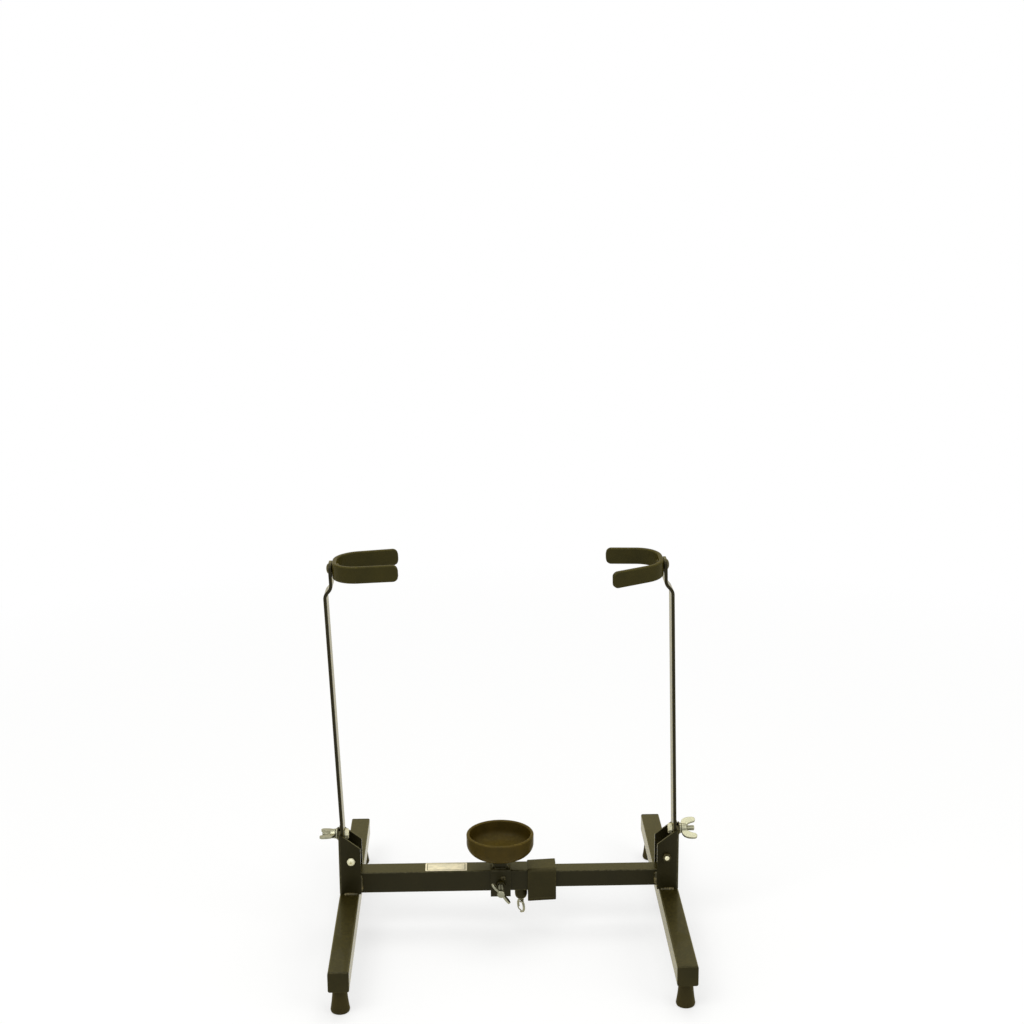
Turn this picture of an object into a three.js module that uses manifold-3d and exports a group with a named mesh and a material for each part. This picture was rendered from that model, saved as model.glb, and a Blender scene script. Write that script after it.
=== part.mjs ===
// A folding floor stand: two leg bars joined by a telescoping crossbar, a rubber cup that slides
// along the bar on a clamp, and two folding arms that end in rubber-covered clips.
// Millimetres. +Z is up, +X to the right, -Y to the front. The origin is on the floor, at the middle.
import * as THREE from "three";
import { mergeVertices } from "three/addons/utils/BufferGeometryUtils.js";
import Module from "manifold-3d";

const wasm = await Module();
wasm.setup();

// Clearance between neighbouring pieces, and how far a cut runs past the face that it opens
const fitGap = 0.3;
const cutOverrun = 2;

// Facets: a circle has twice discSteps, a corner twice cornerSteps and a dome or a small round edgeSteps
const discSteps = 8;
const cornerSteps = 2;
const edgeSteps = 3;
const curveSteps = 7;
const latheSteps = 36;

// Leg bars and their end plugs
const legHalfSpan = 147;
const legSize = 18;
const legWall = 1.5;
const legCorner = 2;
const legLength = 320;
const plugFlange = 2;

// Rubber feet, pushed into the legs by a barbed stem
const footHeight = 24;
const footTopRadius = 6.75;
const footBaseRadius = 8.25;
const footEdge = 2;
const footInset = 14;
const footStemRadius = 3;
const footBarbRadius = 4.2;
const footBarbHeight = 4;

// Crossbar tubes and the sleeve where one runs into the other
const outerBarSize = 20;
const slideGap = 0.5;
const barWall = 1.5;
const barCorner = 1.6;
const innerBarOverlap = 80;
const sleeveStart = 17;
const sleeveLength = 26;
const sleeveDepth = 26;
const sleeveDrop = 9;
const sleeveRise = 1.8;
const sleeveCorner = 4;
const sleeveSlant = THREE.MathUtils.degToRad(2.6);

// Folded sheet brackets that carry the arms
const bracketSheet = 2;
const bracketDepth = 20;
const bracketBend = 0.6;
const webHeight = 58.5;
const plateHeight = 44.5;
const pivotHeight = 32.3;
const lockHeight = 55;

// Arms: a flat bar with a pivot tube at its foot and a joggle near its top
const armThickness = 3;
const armHeight = 281;
const armCorner = 5;
const pivotTubeRadius = 6;
const weldBlock = 5;
const joggleDrop = 31.9;
const joggleRun = 13;
const joggleStep = 6;
const leftLean = THREE.MathUtils.degToRad(2.2);
const rightLean = THREE.MathUtils.degToRad(-1.3);

// Clips: a steel strap inside a rubber cover, riveted to the arm
const rivetDrop = 6;
const rivetRadius = 3;
const rivetHeadRadius = 4.5;
const rivetHeadHeight = 2;
const strapThickness = 2;
const coverWall = 0.8;
const clipHeight = 15;
const clipFlat = 4.5;
const clipBendRadius = 21.9;
const clipTipRadius = 5;
const leftProngLength = 35;
const rightFrontProngLength = 35.5;
const rightBackProngLength = 27.4;
const leftFrontFlare = 0;
const leftBackFlare = THREE.MathUtils.degToRad(5);
const rightFrontFlare = THREE.MathUtils.degToRad(24);
const rightBackFlare = THREE.MathUtils.degToRad(7);
const rightClipTilt = THREE.MathUtils.degToRad(3.5);

// Pivot bolts and nuts
const pivotBoltRadius = 2;
const pivotHeadRadius = 4;
const pivotHeadHeight = 2.6;
const pivotNutFlats = 7;
const pivotNutHeight = 3.2;
const pivotTipLength = 1.5;
const driveWidth = 0.9;
const driveDepth = 1.2;

// Arm locks: bolt, washers and wing nut
const lockBoltRadius = 2.5;
const lockHeadFlats = 8;
const lockHeadHeight = 3.5;
const lockStudLength = 17;
const spacerRadius = 6;
const spacerHeight = 1.2;
const washerRadius = 5;
const washerHeight = 1.4;
const leftWingTurn = THREE.MathUtils.degToRad(96);
const rightWingTurn = THREE.MathUtils.degToRad(113);

// Wing nuts of the arm locks
const wingHubRadius = 4.6;
const wingHubTopRadius = 3.8;
const wingHubHeight = 4.6;
const wingSpan = 26;
const wingHeight = 14;
const wingThickness = 2.4;
const wingLobeRadius = 3;

// Crossbar lock: a spring pin in a domed boss, pulled by a ring
const bossRadius = 5.75;
const bossHeight = 11.4;
const bossDomeHeight = 5;
const bossTipRadius = 3.6;
const bossFloor = 2.4;
const lockPinRadius = 2.2;
const lockHoleStep = 15;
const lockHoleCount = 4;
const pinCollarRadius = 4;
const pinCollarHeight = 2;
const pinEyeRadius = 2.6;
const pinEyeHoleRadius = 1.75;
const pinEyeThickness = 2.4;
const springWire = 0.7;
const springTurns = 5;
const springStepsPerTurn = 8;
const springSideSteps = 3;
const ringRadius = 5.9;
const ringWire = 1.2;
const ringTurn = THREE.MathUtils.degToRad(25);

// Cup and the clamp that carries it
const cupX = -8;
const saddleWidth = 18.4;
const saddleSheet = 2;
const saddleBend = 0.6;
const saddleDrop = 4.7;
const wingScrewDrop = 13;
const wingScrewReach = 15;
const wingScrewTurn = THREE.MathUtils.degToRad(-50);
const wingScrewSpan = 25;
const wingScrewHubRadius = 3.3;
const wingScrewHubHeight = 6;
const bladeRoot = 4;
const bladeWidth = 7;
const bladeThickness = 2;
const clampNutHeight = 4;
const setScrewShift = 2.3;
const setScrewRadius = 1.5;
const setScrewHeadRadius = 2.3;
const setScrewHeadHeight = 1.6;
const postWidth = 12;
const postDepth = 19;
const postHeight = 8.7;
const cupRadius = 31;
const cupHeight = 22;
const cupSideHeight = 8.3;
const cupFootRadius = 10;
const cupWall = 3;
const cupFloor = 4;
const cupSeatRadius = 12;
const cupRoundness = 0.85;
const cupScrewRadius = 2;
const cupScrewHeadRadius = 4;
const cupScrewHeadHeight = 2;
const cupScrewLength = 9;

// Heights and places worked out from the sizes above
const legTop = footHeight + legSize;
const legTubeEnd = legLength / 2 - plugFlange - fitGap;
const innerBarSize = outerBarSize - 2 * (barWall + slideGap);
const barMiddle = legTop + outerBarSize / 2;
const barTop = legTop + outerBarSize;
const webOuter = legHalfSpan + legSize / 2;
const webInner = webOuter - bracketSheet;
const channelHalf = outerBarSize / 2 + fitGap;
const armWidth = outerBarSize;
const armInner = webInner - fitGap - armThickness;
const pivotX = armInner - pivotTubeRadius;
const pivotZ = legTop + pivotHeight;
const lockZ = legTop + lockHeight;
const leanStart = webHeight - pivotHeight;
const joggleStart = armHeight - joggleDrop;
const sleeveStep = sleeveStart + sleeveLength / 2;
const lockPinX = sleeveStart - bossRadius - fitGap;
const coverThickness = strapThickness + 2 * (fitGap + coverWall);
const saddleInner = outerBarSize / 2 + fitGap;
const saddleOuter = saddleInner + saddleSheet;
const saddleTop = barTop + fitGap + saddleSheet;
const wingScrewZ = barTop - wingScrewDrop;
const cupBottom = saddleTop + postHeight;
const cupSeat = cupBottom + cupFloor;

// Finishes
const paint = { color: 0x2a261c, roughness: 0.42, metalness: 0.35 };
const rubber = { color: 0x35291a, roughness: 0.85, metalness: 0 };
const plastic = { color: 0x1d1b17, roughness: 0.5, metalness: 0 };
const zinc = { color: 0xb9b08c, roughness: 0.35, metalness: 0.9 };
const spacerSteel = { color: 0x2c2a24, roughness: 0.5, metalness: 0.6 };

const unitX = new THREE.Vector3(1, 0, 0);
const unitY = new THREE.Vector3(0, 1, 0);
const unitZ = new THREE.Vector3(0, 0, 1);

// An outline is drawn in XY with its depth along Z, then turned to run along one of the axes
const outlineTurns = {
  x: new THREE.Matrix4().makeBasis(unitY, unitZ, unitX),
  y: new THREE.Matrix4().makeBasis(unitX, unitZ, unitY.clone().negate()),
  z: new THREE.Matrix4(),
};

// Geometry to a solid that can be joined and cut
function solidOf(geometry) {
  const bare = geometry.clone();
  bare.deleteAttribute("normal");
  bare.deleteAttribute("uv");
  const merged = mergeVertices(bare);
  const vertProperties = merged.attributes.position.array;
  const triVerts = new Uint32Array(merged.index.array);
  return new wasm.Manifold(new wasm.Mesh({ numProp: 3, vertProperties, triVerts }));
}

function geometryOf(solid) {
  const { vertProperties, triVerts } = solid.getMesh();
  const indexed = new THREE.BufferGeometry();
  indexed.setAttribute("position", new THREE.BufferAttribute(vertProperties, 3));
  indexed.setIndex(new THREE.BufferAttribute(triVerts, 1));
  const flat = indexed.toNonIndexed();
  flat.computeVertexNormals();
  return flat;
}

function piece(name, solid, finish) {
  const mesh = new THREE.Mesh(geometryOf(solid), new THREE.MeshStandardMaterial(finish));
  mesh.name = name;
  return mesh;
}

function prismGeometry(axis, outline, from, to, steps) {
  const options = { depth: to - from, bevelEnabled: false, curveSegments: steps };
  const geometry = new THREE.ExtrudeGeometry(outline, options);
  geometry.translate(0, 0, axis === "y" ? -to : from);
  return geometry.applyMatrix4(outlineTurns[axis]);
}

function prism(axis, outline, from, to, steps = cornerSteps) {
  return solidOf(prismGeometry(axis, outline, from, to, steps));
}

function rod(axis, a, b, radius, from, to) {
  return prism(axis, disc(a, b, radius), from, to, discSteps);
}

// A profile of radius and height, turned about the Z axis
function turned(profile, steps = latheSteps) {
  const geometry = new THREE.LatheGeometry(profile, steps);
  return solidOf(geometry.rotateX(Math.PI / 2));
}

function point(a, b) {
  return new THREE.Vector2(a, b);
}

function disc(a, b, radius) {
  return new THREE.Shape().absarc(a, b, radius, 0, 2 * Math.PI);
}

function rectangle(a0, a1, b0, b1) {
  return new THREE.Shape([point(a0, b0), point(a1, b0), point(a1, b1), point(a0, b1)]);
}

function roundedRectangle(a0, a1, b0, b1, radius) {
  const outline = new THREE.Shape();
  outline.absarc(a1 - radius, b0 + radius, radius, -Math.PI / 2, 0);
  outline.absarc(a1 - radius, b1 - radius, radius, 0, Math.PI / 2);
  outline.absarc(a0 + radius, b1 - radius, radius, Math.PI / 2, Math.PI);
  outline.absarc(a0 + radius, b0 + radius, radius, Math.PI, 1.5 * Math.PI);
  return outline;
}

function roundedSquare(a, b, size, radius) {
  return roundedRectangle(a - size / 2, a + size / 2, b - size / 2, b + size / 2, radius);
}

function hexagon(a, b, flats) {
  const corners = [];
  for (let i = 0; i < 6; i++) {
    const angle = (i * Math.PI) / 3;
    const reach = flats / Math.sqrt(3);
    corners.push(point(a + reach * Math.cos(angle), b + reach * Math.sin(angle)));
  }
  return new THREE.Shape(corners);
}

// A square tube's section, hollow all along
function tubeSection(a, b, size, wall, radius) {
  const section = roundedSquare(a, b, size, radius);
  section.holes.push(roundedSquare(a, b, size - 2 * wall, radius / 2));
  return section;
}

// A U of folded sheet, open towards -a, with its back's outer face at a = back
function channelSection(edge, back, innerHalf, sheet, bend) {
  const outerHalf = innerHalf + sheet;
  const outerBend = bend + sheet;
  const inside = back - sheet;
  const section = new THREE.Shape();
  section.moveTo(edge, -outerHalf);
  section.lineTo(back - outerBend, -outerHalf);
  section.absarc(back - outerBend, -outerHalf + outerBend, outerBend, -Math.PI / 2, 0);
  section.absarc(back - outerBend, outerHalf - outerBend, outerBend, 0, Math.PI / 2);
  section.lineTo(edge, outerHalf);
  section.lineTo(edge, innerHalf);
  section.absarc(inside - bend, innerHalf - bend, bend, Math.PI / 2, 0, true);
  section.absarc(inside - bend, -innerHalf + bend, bend, 0, -Math.PI / 2, true);
  section.lineTo(edge, -innerHalf);
  return section;
}

// The outline of a strip of even thickness whose middle follows a line of points
function stripOutline(line, thickness) {
  const left = [];
  const right = [];
  line.forEach((at, i) => {
    const before = line[Math.max(i - 1, 0)];
    const after = line[Math.min(i + 1, line.length - 1)];
    const into = i > 0 ? at.clone().sub(before).normalize() : after.clone().sub(at).normalize();
    const out = i < line.length - 1 ? after.clone().sub(at).normalize() : into;
    const mitre = into.clone().add(out).normalize();
    const half = thickness / 2 / mitre.dot(into);
    left.push(point(at.x - mitre.y * half, at.y + mitre.x * half));
    right.push(point(at.x + mitre.y * half, at.y - mitre.x * half));
  });
  return new THREE.Shape([...left, ...right.reverse()]);
}

// What is cut away outside a strip's rounded corner, whose sharp point is at (0, side * half)
function cornerWaste(half, radius, side) {
  const waste = new THREE.Shape();
  waste.moveTo(-radius, side * (half + cutOverrun));
  waste.lineTo(-radius, side * half);
  waste.absarc(-radius, side * (half - radius), radius, (side * Math.PI) / 2, 0, side > 0);
  waste.lineTo(cutOverrun, side * (half - radius));
  waste.lineTo(cutOverrun, side * (half + cutOverrun));
  return waste;
}

// Rounds both corners of a strip's end, seen square to its broad face
function roundTip(solid, tip, forward, across, half, radius, thickness) {
  const place = new THREE.Matrix4().makeBasis(forward, across, forward.clone().cross(across));
  place.setPosition(tip);
  let rounded = solid;
  for (const side of [-1, 1]) {
    const waste = cornerWaste(half, radius, side);
    const reach = thickness / 2 + cutOverrun;
    const cutter = prismGeometry("z", waste, -reach, reach, cornerSteps);
    rounded = rounded.subtract(solidOf(cutter.applyMatrix4(place)));
  }
  return rounded;
}

// A low domed head on a shank, its seat at height 0 and its shank running down
function domedHead(radius, height) {
  const profile = [point(0, 0)];
  for (let i = 0; i <= edgeSteps; i++) {
    const angle = (i * Math.PI) / 2 / edgeSteps;
    profile.push(point(radius * Math.cos(angle), height * Math.sin(angle)));
  }
  return profile;
}

// A cross recess in the top of a head
function crossRecess(top, reach) {
  const half = driveWidth / 2;
  const from = top - driveDepth;
  const to = top + cutOverrun;
  const alongX = prism("z", rectangle(-reach, reach, -half, half), from, to);
  const alongY = prism("z", rectangle(-half, half, -reach, reach), from, to);
  return alongX.add(alongY);
}

function crossHeadScrew(shankRadius, shankLength, headRadius, headHeight) {
  const head = turned(domedHead(headRadius, headHeight), 2 * discSteps);
  const shank = rod("z", 0, 0, shankRadius, -shankLength, headHeight / 2);
  return head.add(shank).subtract(crossRecess(headHeight, headRadius / 2));
}

// The half of a pair of wings that lies on +X, drawn in X and Z
function wingOutline() {
  const outline = new THREE.Shape();
  const lobeZ = wingHeight - wingLobeRadius;
  outline.moveTo(0, 0);
  outline.lineTo(wingHubRadius, 0);
  outline.quadraticCurveTo(wingSpan / 2, 0, wingSpan / 2, lobeZ);
  outline.absarc(wingSpan / 2 - wingLobeRadius, lobeZ, wingLobeRadius, 0, Math.PI);
  outline.quadraticCurveTo(wingHubRadius, wingHubHeight, 0, wingHubHeight);
  return outline;
}

// Hub and wings, standing on height 0 and pointing up, with a bore for the stud
function wingNut() {
  const half = wingThickness / 2;
  const hub = new THREE.CylinderGeometry(wingHubTopRadius, wingHubRadius, wingHubHeight, 2 * discSteps);
  hub.translate(0, wingHubHeight / 2, 0);
  hub.rotateX(Math.PI / 2);
  let body = solidOf(hub);
  for (const turn of [0, Math.PI]) {
    const wing = prismGeometry("y", wingOutline(), -half, half, edgeSteps);
    body = body.add(solidOf(wing.rotateZ(turn)));
  }
  return body.subtract(rod("z", 0, 0, lockBoltRadius + fitGap, -cutOverrun, wingHeight + cutOverrun));
}

function leg() {
  const middle = footHeight + legSize / 2;
  const section = tubeSection(0, middle, legSize, legWall, legCorner);
  let bar = prism("y", section, -legTubeEnd, legTubeEnd);
  for (const end of [-1, 1]) {
    const bottom = footHeight - cutOverrun;
    const hole = rod("z", 0, end * (legLength / 2 - footInset), footStemRadius + fitGap, bottom, middle);
    bar = bar.subtract(hole);
  }
  return bar;
}

// End plug, drawn at the end that faces +Y
function legPlug() {
  const middle = footHeight + legSize / 2;
  const insert = legSize - 2 * legWall - 2 * fitGap;
  const flange = prism("y", roundedSquare(0, middle, legSize, legCorner), legTubeEnd + fitGap, legLength / 2);
  const start = legLength / 2 - footInset + footBarbRadius + fitGap;
  const stub = prism("y", roundedSquare(0, middle, insert, legCorner / 2), start, legTubeEnd + plugFlange);
  return flange.add(stub);
}

function foot() {
  const wallTop = footHeight + legWall + fitGap;
  const profile = [point(0, 0)];
  for (let i = 0; i <= edgeSteps; i++) {
    const angle = (i * Math.PI) / 2 / edgeSteps;
    const radius = footBaseRadius - footEdge + footEdge * Math.sin(angle);
    profile.push(point(radius, footEdge - footEdge * Math.cos(angle)));
  }
  profile.push(point(footTopRadius, footHeight), point(footStemRadius, footHeight));
  profile.push(point(footStemRadius, wallTop), point(footBarbRadius, wallTop));
  profile.push(point(footStemRadius, wallTop + footBarbHeight), point(0, wallTop + footBarbHeight));
  return turned(profile, 2 * discSteps);
}

// Sheet folded to a U round the end of the crossbar, with a sloping top and a notch for the lock
function bracket() {
  const edge = webOuter - bracketDepth;
  const top = legTop + webHeight;
  const corner = legTop + plateHeight;
  const section = channelSection(edge, webOuter, channelHalf, bracketSheet, bracketBend);
  const blank = prism("z", section, legTop, top);

  const slope = new THREE.Shape();
  slope.moveTo(edge - cutOverrun, corner);
  slope.lineTo(edge, corner);
  slope.lineTo(webInner, top);
  slope.lineTo(webInner, top + cutOverrun);
  slope.lineTo(edge - cutOverrun, top + cutOverrun);
  const reach = channelHalf + bracketSheet + cutOverrun;
  const sloped = blank.subtract(prism("y", slope, -reach, reach));

  const notchRadius = lockBoltRadius + fitGap;
  const notch = new THREE.Shape();
  notch.moveTo(-notchRadius, top + cutOverrun);
  notch.lineTo(-notchRadius, lockZ);
  notch.absarc(0, lockZ, notchRadius, Math.PI, 2 * Math.PI);
  notch.lineTo(notchRadius, top + cutOverrun);
  const notched = sloped.subtract(prism("x", notch, webInner - cutOverrun, webOuter + cutOverrun, discSteps / 2));

  return notched.subtract(rod("y", pivotX, pivotZ, pivotBoltRadius + fitGap, -reach, reach));
}

function outerCrossbar() {
  const section = tubeSection(0, barMiddle, outerBarSize, barWall, barCorner);
  const bar = prism("x", section, fitGap - webInner, sleeveStep - fitGap);
  const pinHole = rod("z", lockPinX, 0, lockPinRadius + fitGap, legTop - cutOverrun, barMiddle);
  return bar.subtract(pinHole);
}

// The inner tube has a row of holes below for the lock pin, one for each width
function innerCrossbar() {
  const section = tubeSection(0, barMiddle, innerBarSize, barWall, barCorner);
  const inEnd = sleeveStep - fitGap - innerBarOverlap;
  let bar = prism("x", section, inEnd, webInner - fitGap);
  for (let i = 0; i < lockHoleCount; i++) {
    const x = lockPinX - i * lockHoleStep;
    bar = bar.subtract(rod("z", x, 0, lockPinRadius + fitGap, legTop, barMiddle));
  }
  return bar;
}

// Sleeve with a straight stepped bore; its outside slants a little along the bar
function jointSleeve() {
  const sleeveEnd = sleeveStart + sleeveLength;
  const half = sleeveDepth / 2;
  const outline = roundedRectangle(-half, half, legTop - sleeveDrop, barTop + sleeveRise, sleeveCorner);
  const outside = prismGeometry("x", outline, sleeveStart, sleeveEnd, cornerSteps);
  outside.translate(-sleeveStep, 0, 0);
  outside.applyMatrix4(new THREE.Matrix4().makeShear(0, Math.tan(sleeveSlant), 0, 0, 0, 0));
  outside.translate(sleeveStep, 0, 0);
  const outerBore = roundedSquare(0, barMiddle, outerBarSize + 2 * fitGap, barCorner);
  const innerBore = roundedSquare(0, barMiddle, innerBarSize + 2 * fitGap, barCorner);
  return solidOf(outside)
    .subtract(prism("x", outerBore, sleeveStart - cutOverrun, sleeveStep))
    .subtract(prism("x", innerBore, sleeveStart, sleeveEnd + cutOverrun));
}

// Domed boss under the crossbar, drawn with its top at height 0
function lockBoss() {
  const boreRadius = lockPinRadius + fitGap;
  const roomRadius = pinCollarRadius + fitGap;
  const profile = [point(boreRadius, -bossHeight)];
  for (let i = edgeSteps; i >= 0; i--) {
    const angle = (i * Math.PI) / 2 / edgeSteps;
    const radius = bossTipRadius + (bossRadius - bossTipRadius) * Math.cos(angle);
    profile.push(point(radius, -bossHeight + bossDomeHeight * (1 - Math.sin(angle))));
  }
  const floor = bossFloor - bossHeight;
  profile.push(point(bossRadius, 0), point(roomRadius, 0), point(roomRadius, floor));
  profile.push(point(boreRadius, floor), point(boreRadius, -bossHeight));
  return turned(profile, 2 * discSteps);
}

// Lock pin, drawn about the boss's axis with the crossbar's underside at height 0
function lockPin() {
  const tip = (outerBarSize - innerBarSize) / 2 - fitGap;
  const collarTop = -fitGap;
  const eyeZ = -bossHeight - pinEyeRadius;
  const half = pinEyeThickness / 2;
  const shaft = rod("z", 0, 0, lockPinRadius, eyeZ + pinEyeHoleRadius + fitGap, tip);
  const collar = rod("z", 0, 0, pinCollarRadius, collarTop - pinCollarHeight, collarTop);
  const eye = rod("y", 0, eyeZ, pinEyeRadius, -half, half);
  const hole = rod("y", 0, eyeZ, pinEyeHoleRadius, -half - cutOverrun, half + cutOverrun);
  return shaft.add(collar).add(eye).subtract(hole);
}

// The return spring inside the boss, between its floor and the pin's collar
class SpringLine extends THREE.Curve {
  constructor(radius, from, to) {
    super();
    this.radius = radius;
    this.from = from;
    this.to = to;
  }
  getPoint(share, target = new THREE.Vector3()) {
    const angle = share * springTurns * 2 * Math.PI;
    const height = this.from + share * (this.to - this.from);
    return target.set(this.radius * Math.cos(angle), this.radius * Math.sin(angle), height);
  }
}

function lockSpring() {
  const from = bossFloor - bossHeight + fitGap + springWire / 2;
  const to = -pinCollarHeight - 2 * fitGap - springWire / 2;
  const line = new SpringLine((lockPinRadius + pinCollarRadius) / 2, from, to);
  const steps = springTurns * springStepsPerTurn;
  const options = { extrudePath: line, steps, bevelEnabled: false, curveSegments: springSideSteps };
  return solidOf(new THREE.ExtrudeGeometry(disc(0, 0, springWire / 2), options));
}

// Split ring of two turns of wire, drawn about the X axis
function pullRing() {
  const profile = [];
  const sides = 4 * edgeSteps;
  for (let i = 0; i <= sides; i++) {
    const angle = (i * 2 * Math.PI) / sides;
    const across = Math.sin(angle);
    const shift = (Math.sign(Math.round(across * sides)) * ringWire) / 2;
    profile.push(point(ringRadius + (ringWire / 2) * Math.cos(angle), shift + (ringWire / 2) * across));
  }
  const geometry = new THREE.LatheGeometry(profile, 2 * discSteps);
  return solidOf(geometry.rotateZ(Math.PI / 2));
}

// Flat bar from the pivot up, with its joggle; X is outwards and the pivot is at 0
function armLine(lean) {
  const slope = Math.tan(lean);
  const root = pivotTubeRadius + armThickness / 2;
  const outAt = (height) => root + Math.max(height - leanStart, 0) * slope;
  const joggleEnd = joggleStart + joggleRun;
  const line = new THREE.Path();
  line.moveTo(root, 0);
  line.lineTo(root, leanStart);
  line.lineTo(outAt(joggleStart), joggleStart);
  line.bezierCurveTo(
    outAt(joggleStart + joggleRun / 2), joggleStart + joggleRun / 2,
    outAt(joggleStart + joggleRun / 2) - joggleStep, joggleStart + joggleRun / 2,
    outAt(joggleEnd) - joggleStep, joggleEnd,
  );
  line.lineTo(outAt(armHeight) - joggleStep, armHeight);
  return line.getPoints(curveSteps);
}

// Where the rivet crosses the arm's middle line
function rivetPoint(lean) {
  const height = armHeight - rivetDrop;
  const out = pivotTubeRadius + armThickness / 2 - joggleStep + (height - leanStart) * Math.tan(lean);
  return new THREE.Vector3(out, 0, height);
}

function arm(lean) {
  const half = armWidth / 2;
  const line = armLine(lean);
  const end = line.at(-1);
  const tip = new THREE.Vector3(end.x, 0, end.y);
  const up = new THREE.Vector3(Math.sin(lean), 0, Math.cos(lean));
  const strip = prism("y", stripOutline(line, armThickness), -half, half);
  const bar = roundTip(strip, tip, up, unitY, half, armCorner, armThickness);

  const tube = rod("y", 0, 0, pivotTubeRadius, -half, half);
  const weldEnd = pivotTubeRadius + armThickness / 2;
  const weld = prism("y", rectangle(0, weldEnd, 0, weldBlock), -half, half);
  const bore = rod("y", 0, 0, pivotBoltRadius + fitGap, -half - cutOverrun, half + cutOverrun);

  const reach = armThickness / 2 + cutOverrun;
  const rivetHole = prismGeometry("x", disc(0, 0, rivetRadius + fitGap), -reach, reach, discSteps);
  rivetHole.rotateY(lean);
  rivetHole.translate(...rivetPoint(lean));
  const lockHole = rod("x", 0, lockZ - pivotZ, lockBoltRadius + fitGap, 0, weldEnd + reach);
  return bar.add(tube).add(weld).subtract(bore).subtract(solidOf(rivetHole)).subtract(lockHole);
}

// One half of a clip's middle line, from the rivet to the tip on +Y
function prongLine(flare, prongLength) {
  const sweep = Math.PI / 2 - flare;
  const line = [];
  for (let i = 0; i <= curveSteps; i++) {
    const angle = (sweep * i) / curveSteps;
    line.push(point(clipBendRadius * (Math.cos(angle) - 1), clipFlat + clipBendRadius * Math.sin(angle)));
  }
  const forward = point(-Math.sin(sweep), Math.cos(sweep));
  line.push(line.at(-1).clone().addScaledVector(forward, prongLength));
  return line;
}

// A band bent to the clip's line, shortened at both tips by inset
function clipBand(clip, thickness, height, inset) {
  const plus = prongLine(clip.plusFlare, clip.plusLength - inset);
  const minus = prongLine(clip.minusFlare, clip.minusLength - inset);
  minus.forEach((at) => at.setY(-at.y));
  const line = [...minus.toReversed(), ...plus];
  let band = prism("z", stripOutline(line, thickness), -height / 2, height / 2);
  for (const half of [plus, minus]) {
    const tip = half.at(-1);
    const forward = tip.clone().sub(half.at(-2)).normalize();
    const tipAt = new THREE.Vector3(tip.x, tip.y, 0);
    const ahead = new THREE.Vector3(forward.x, forward.y, 0);
    band = roundTip(band, tipAt, ahead, unitZ, height / 2, clipTipRadius - inset, thickness);
  }
  return band;
}

function rivetBore() {
  const reach = coverThickness / 2 + cutOverrun;
  return rod("x", 0, 0, rivetRadius + fitGap, -reach, reach);
}

function clipCover(clip) {
  const shell = clipBand(clip, coverThickness, clipHeight, 0);
  const room = clipBand(clip, strapThickness + 2 * fitGap, clipHeight - 2 * coverWall, coverWall);
  return shell.subtract(room).subtract(rivetBore());
}

function clipStrap(clip) {
  const inset = coverWall + fitGap;
  return clipBand(clip, strapThickness, clipHeight - 2 * inset, inset).subtract(rivetBore());
}

// Rivet along X, with the arm's middle at 0, its inner head inside the clip
function clipRivet() {
  const outerSeat = armThickness / 2 + fitGap;
  const innerSeat = -armThickness / 2 - 2 * fitGap - coverThickness;
  const outerHead = turned(domedHead(rivetHeadRadius, rivetHeadHeight), 2 * discSteps);
  const heads = [
    [new THREE.Matrix4().makeRotationY(Math.PI / 2), outerSeat],
    [new THREE.Matrix4().makeRotationY(-Math.PI / 2), innerSeat],
  ];
  let rivet = rod("x", 0, 0, rivetRadius, innerSeat - rivetHeadHeight / 2, outerSeat + rivetHeadHeight / 2);
  for (const [turn, seat] of heads) {
    const head = geometryOf(outerHead).applyMatrix4(turn).translate(seat, 0, 0);
    rivet = rivet.add(solidOf(head));
  }
  return rivet;
}

// Pivot bolt along Y, head at the +Y side of the bracket
function pivotBolt() {
  const face = channelHalf + bracketSheet;
  const length = 2 * face + pivotNutHeight + 2 * fitGap + pivotTipLength;
  const bolt = crossHeadScrew(pivotBoltRadius, length, pivotHeadRadius, pivotHeadHeight);
  const turn = new THREE.Matrix4().makeRotationX(-Math.PI / 2);
  return solidOf(geometryOf(bolt).applyMatrix4(turn).translate(0, face + fitGap, 0));
}

function pivotNut() {
  const face = channelHalf + bracketSheet + fitGap;
  const nut = prism("y", hexagon(0, 0, pivotNutFlats), -face - pivotNutHeight, -face);
  const bore = rod("y", 0, 0, pivotBoltRadius + fitGap, -face - pivotNutHeight - cutOverrun, cutOverrun);
  return nut.subtract(bore);
}

function washer(radius, height) {
  const outline = disc(0, 0, radius);
  outline.holes.push(disc(0, 0, lockBoltRadius + fitGap));
  return prism("x", outline, 0, height, discSteps);
}

// Hex head on the arm's inner face, with the plain stub that fills the arm's hole
function lockBoltHead() {
  const head = prism("x", hexagon(0, 0, lockHeadFlats), -fitGap - lockHeadHeight, -fitGap);
  const stub = rod("x", 0, 0, lockBoltRadius, -fitGap - lockHeadHeight / 2, armThickness);
  return head.add(stub);
}

// Saddle over the crossbar, drawn about x = 0
function cupClamp() {
  const half = saddleWidth / 2;
  const bottom = legTop - saddleDrop;
  const section = channelSection(bottom, saddleTop, saddleInner, saddleSheet, saddleBend);
  const saddle = prismGeometry("z", section, -half, half, cornerSteps);
  saddle.applyMatrix4(new THREE.Matrix4().makeBasis(unitZ, unitY, unitX.clone().negate()));
  const reach = -saddleOuter - cutOverrun;
  const screwHole = rod("y", 0, wingScrewZ, lockBoltRadius + fitGap, reach, 0);
  const setHole = rod("y", setScrewShift, setScrewZ(), setScrewRadius + fitGap, reach, 0);
  return solidOf(saddle).subtract(screwHole).subtract(setHole);
}

function setScrewZ() {
  return wingScrewZ + lockHeadFlats / 2 + setScrewHeadRadius + fitGap;
}

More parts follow.
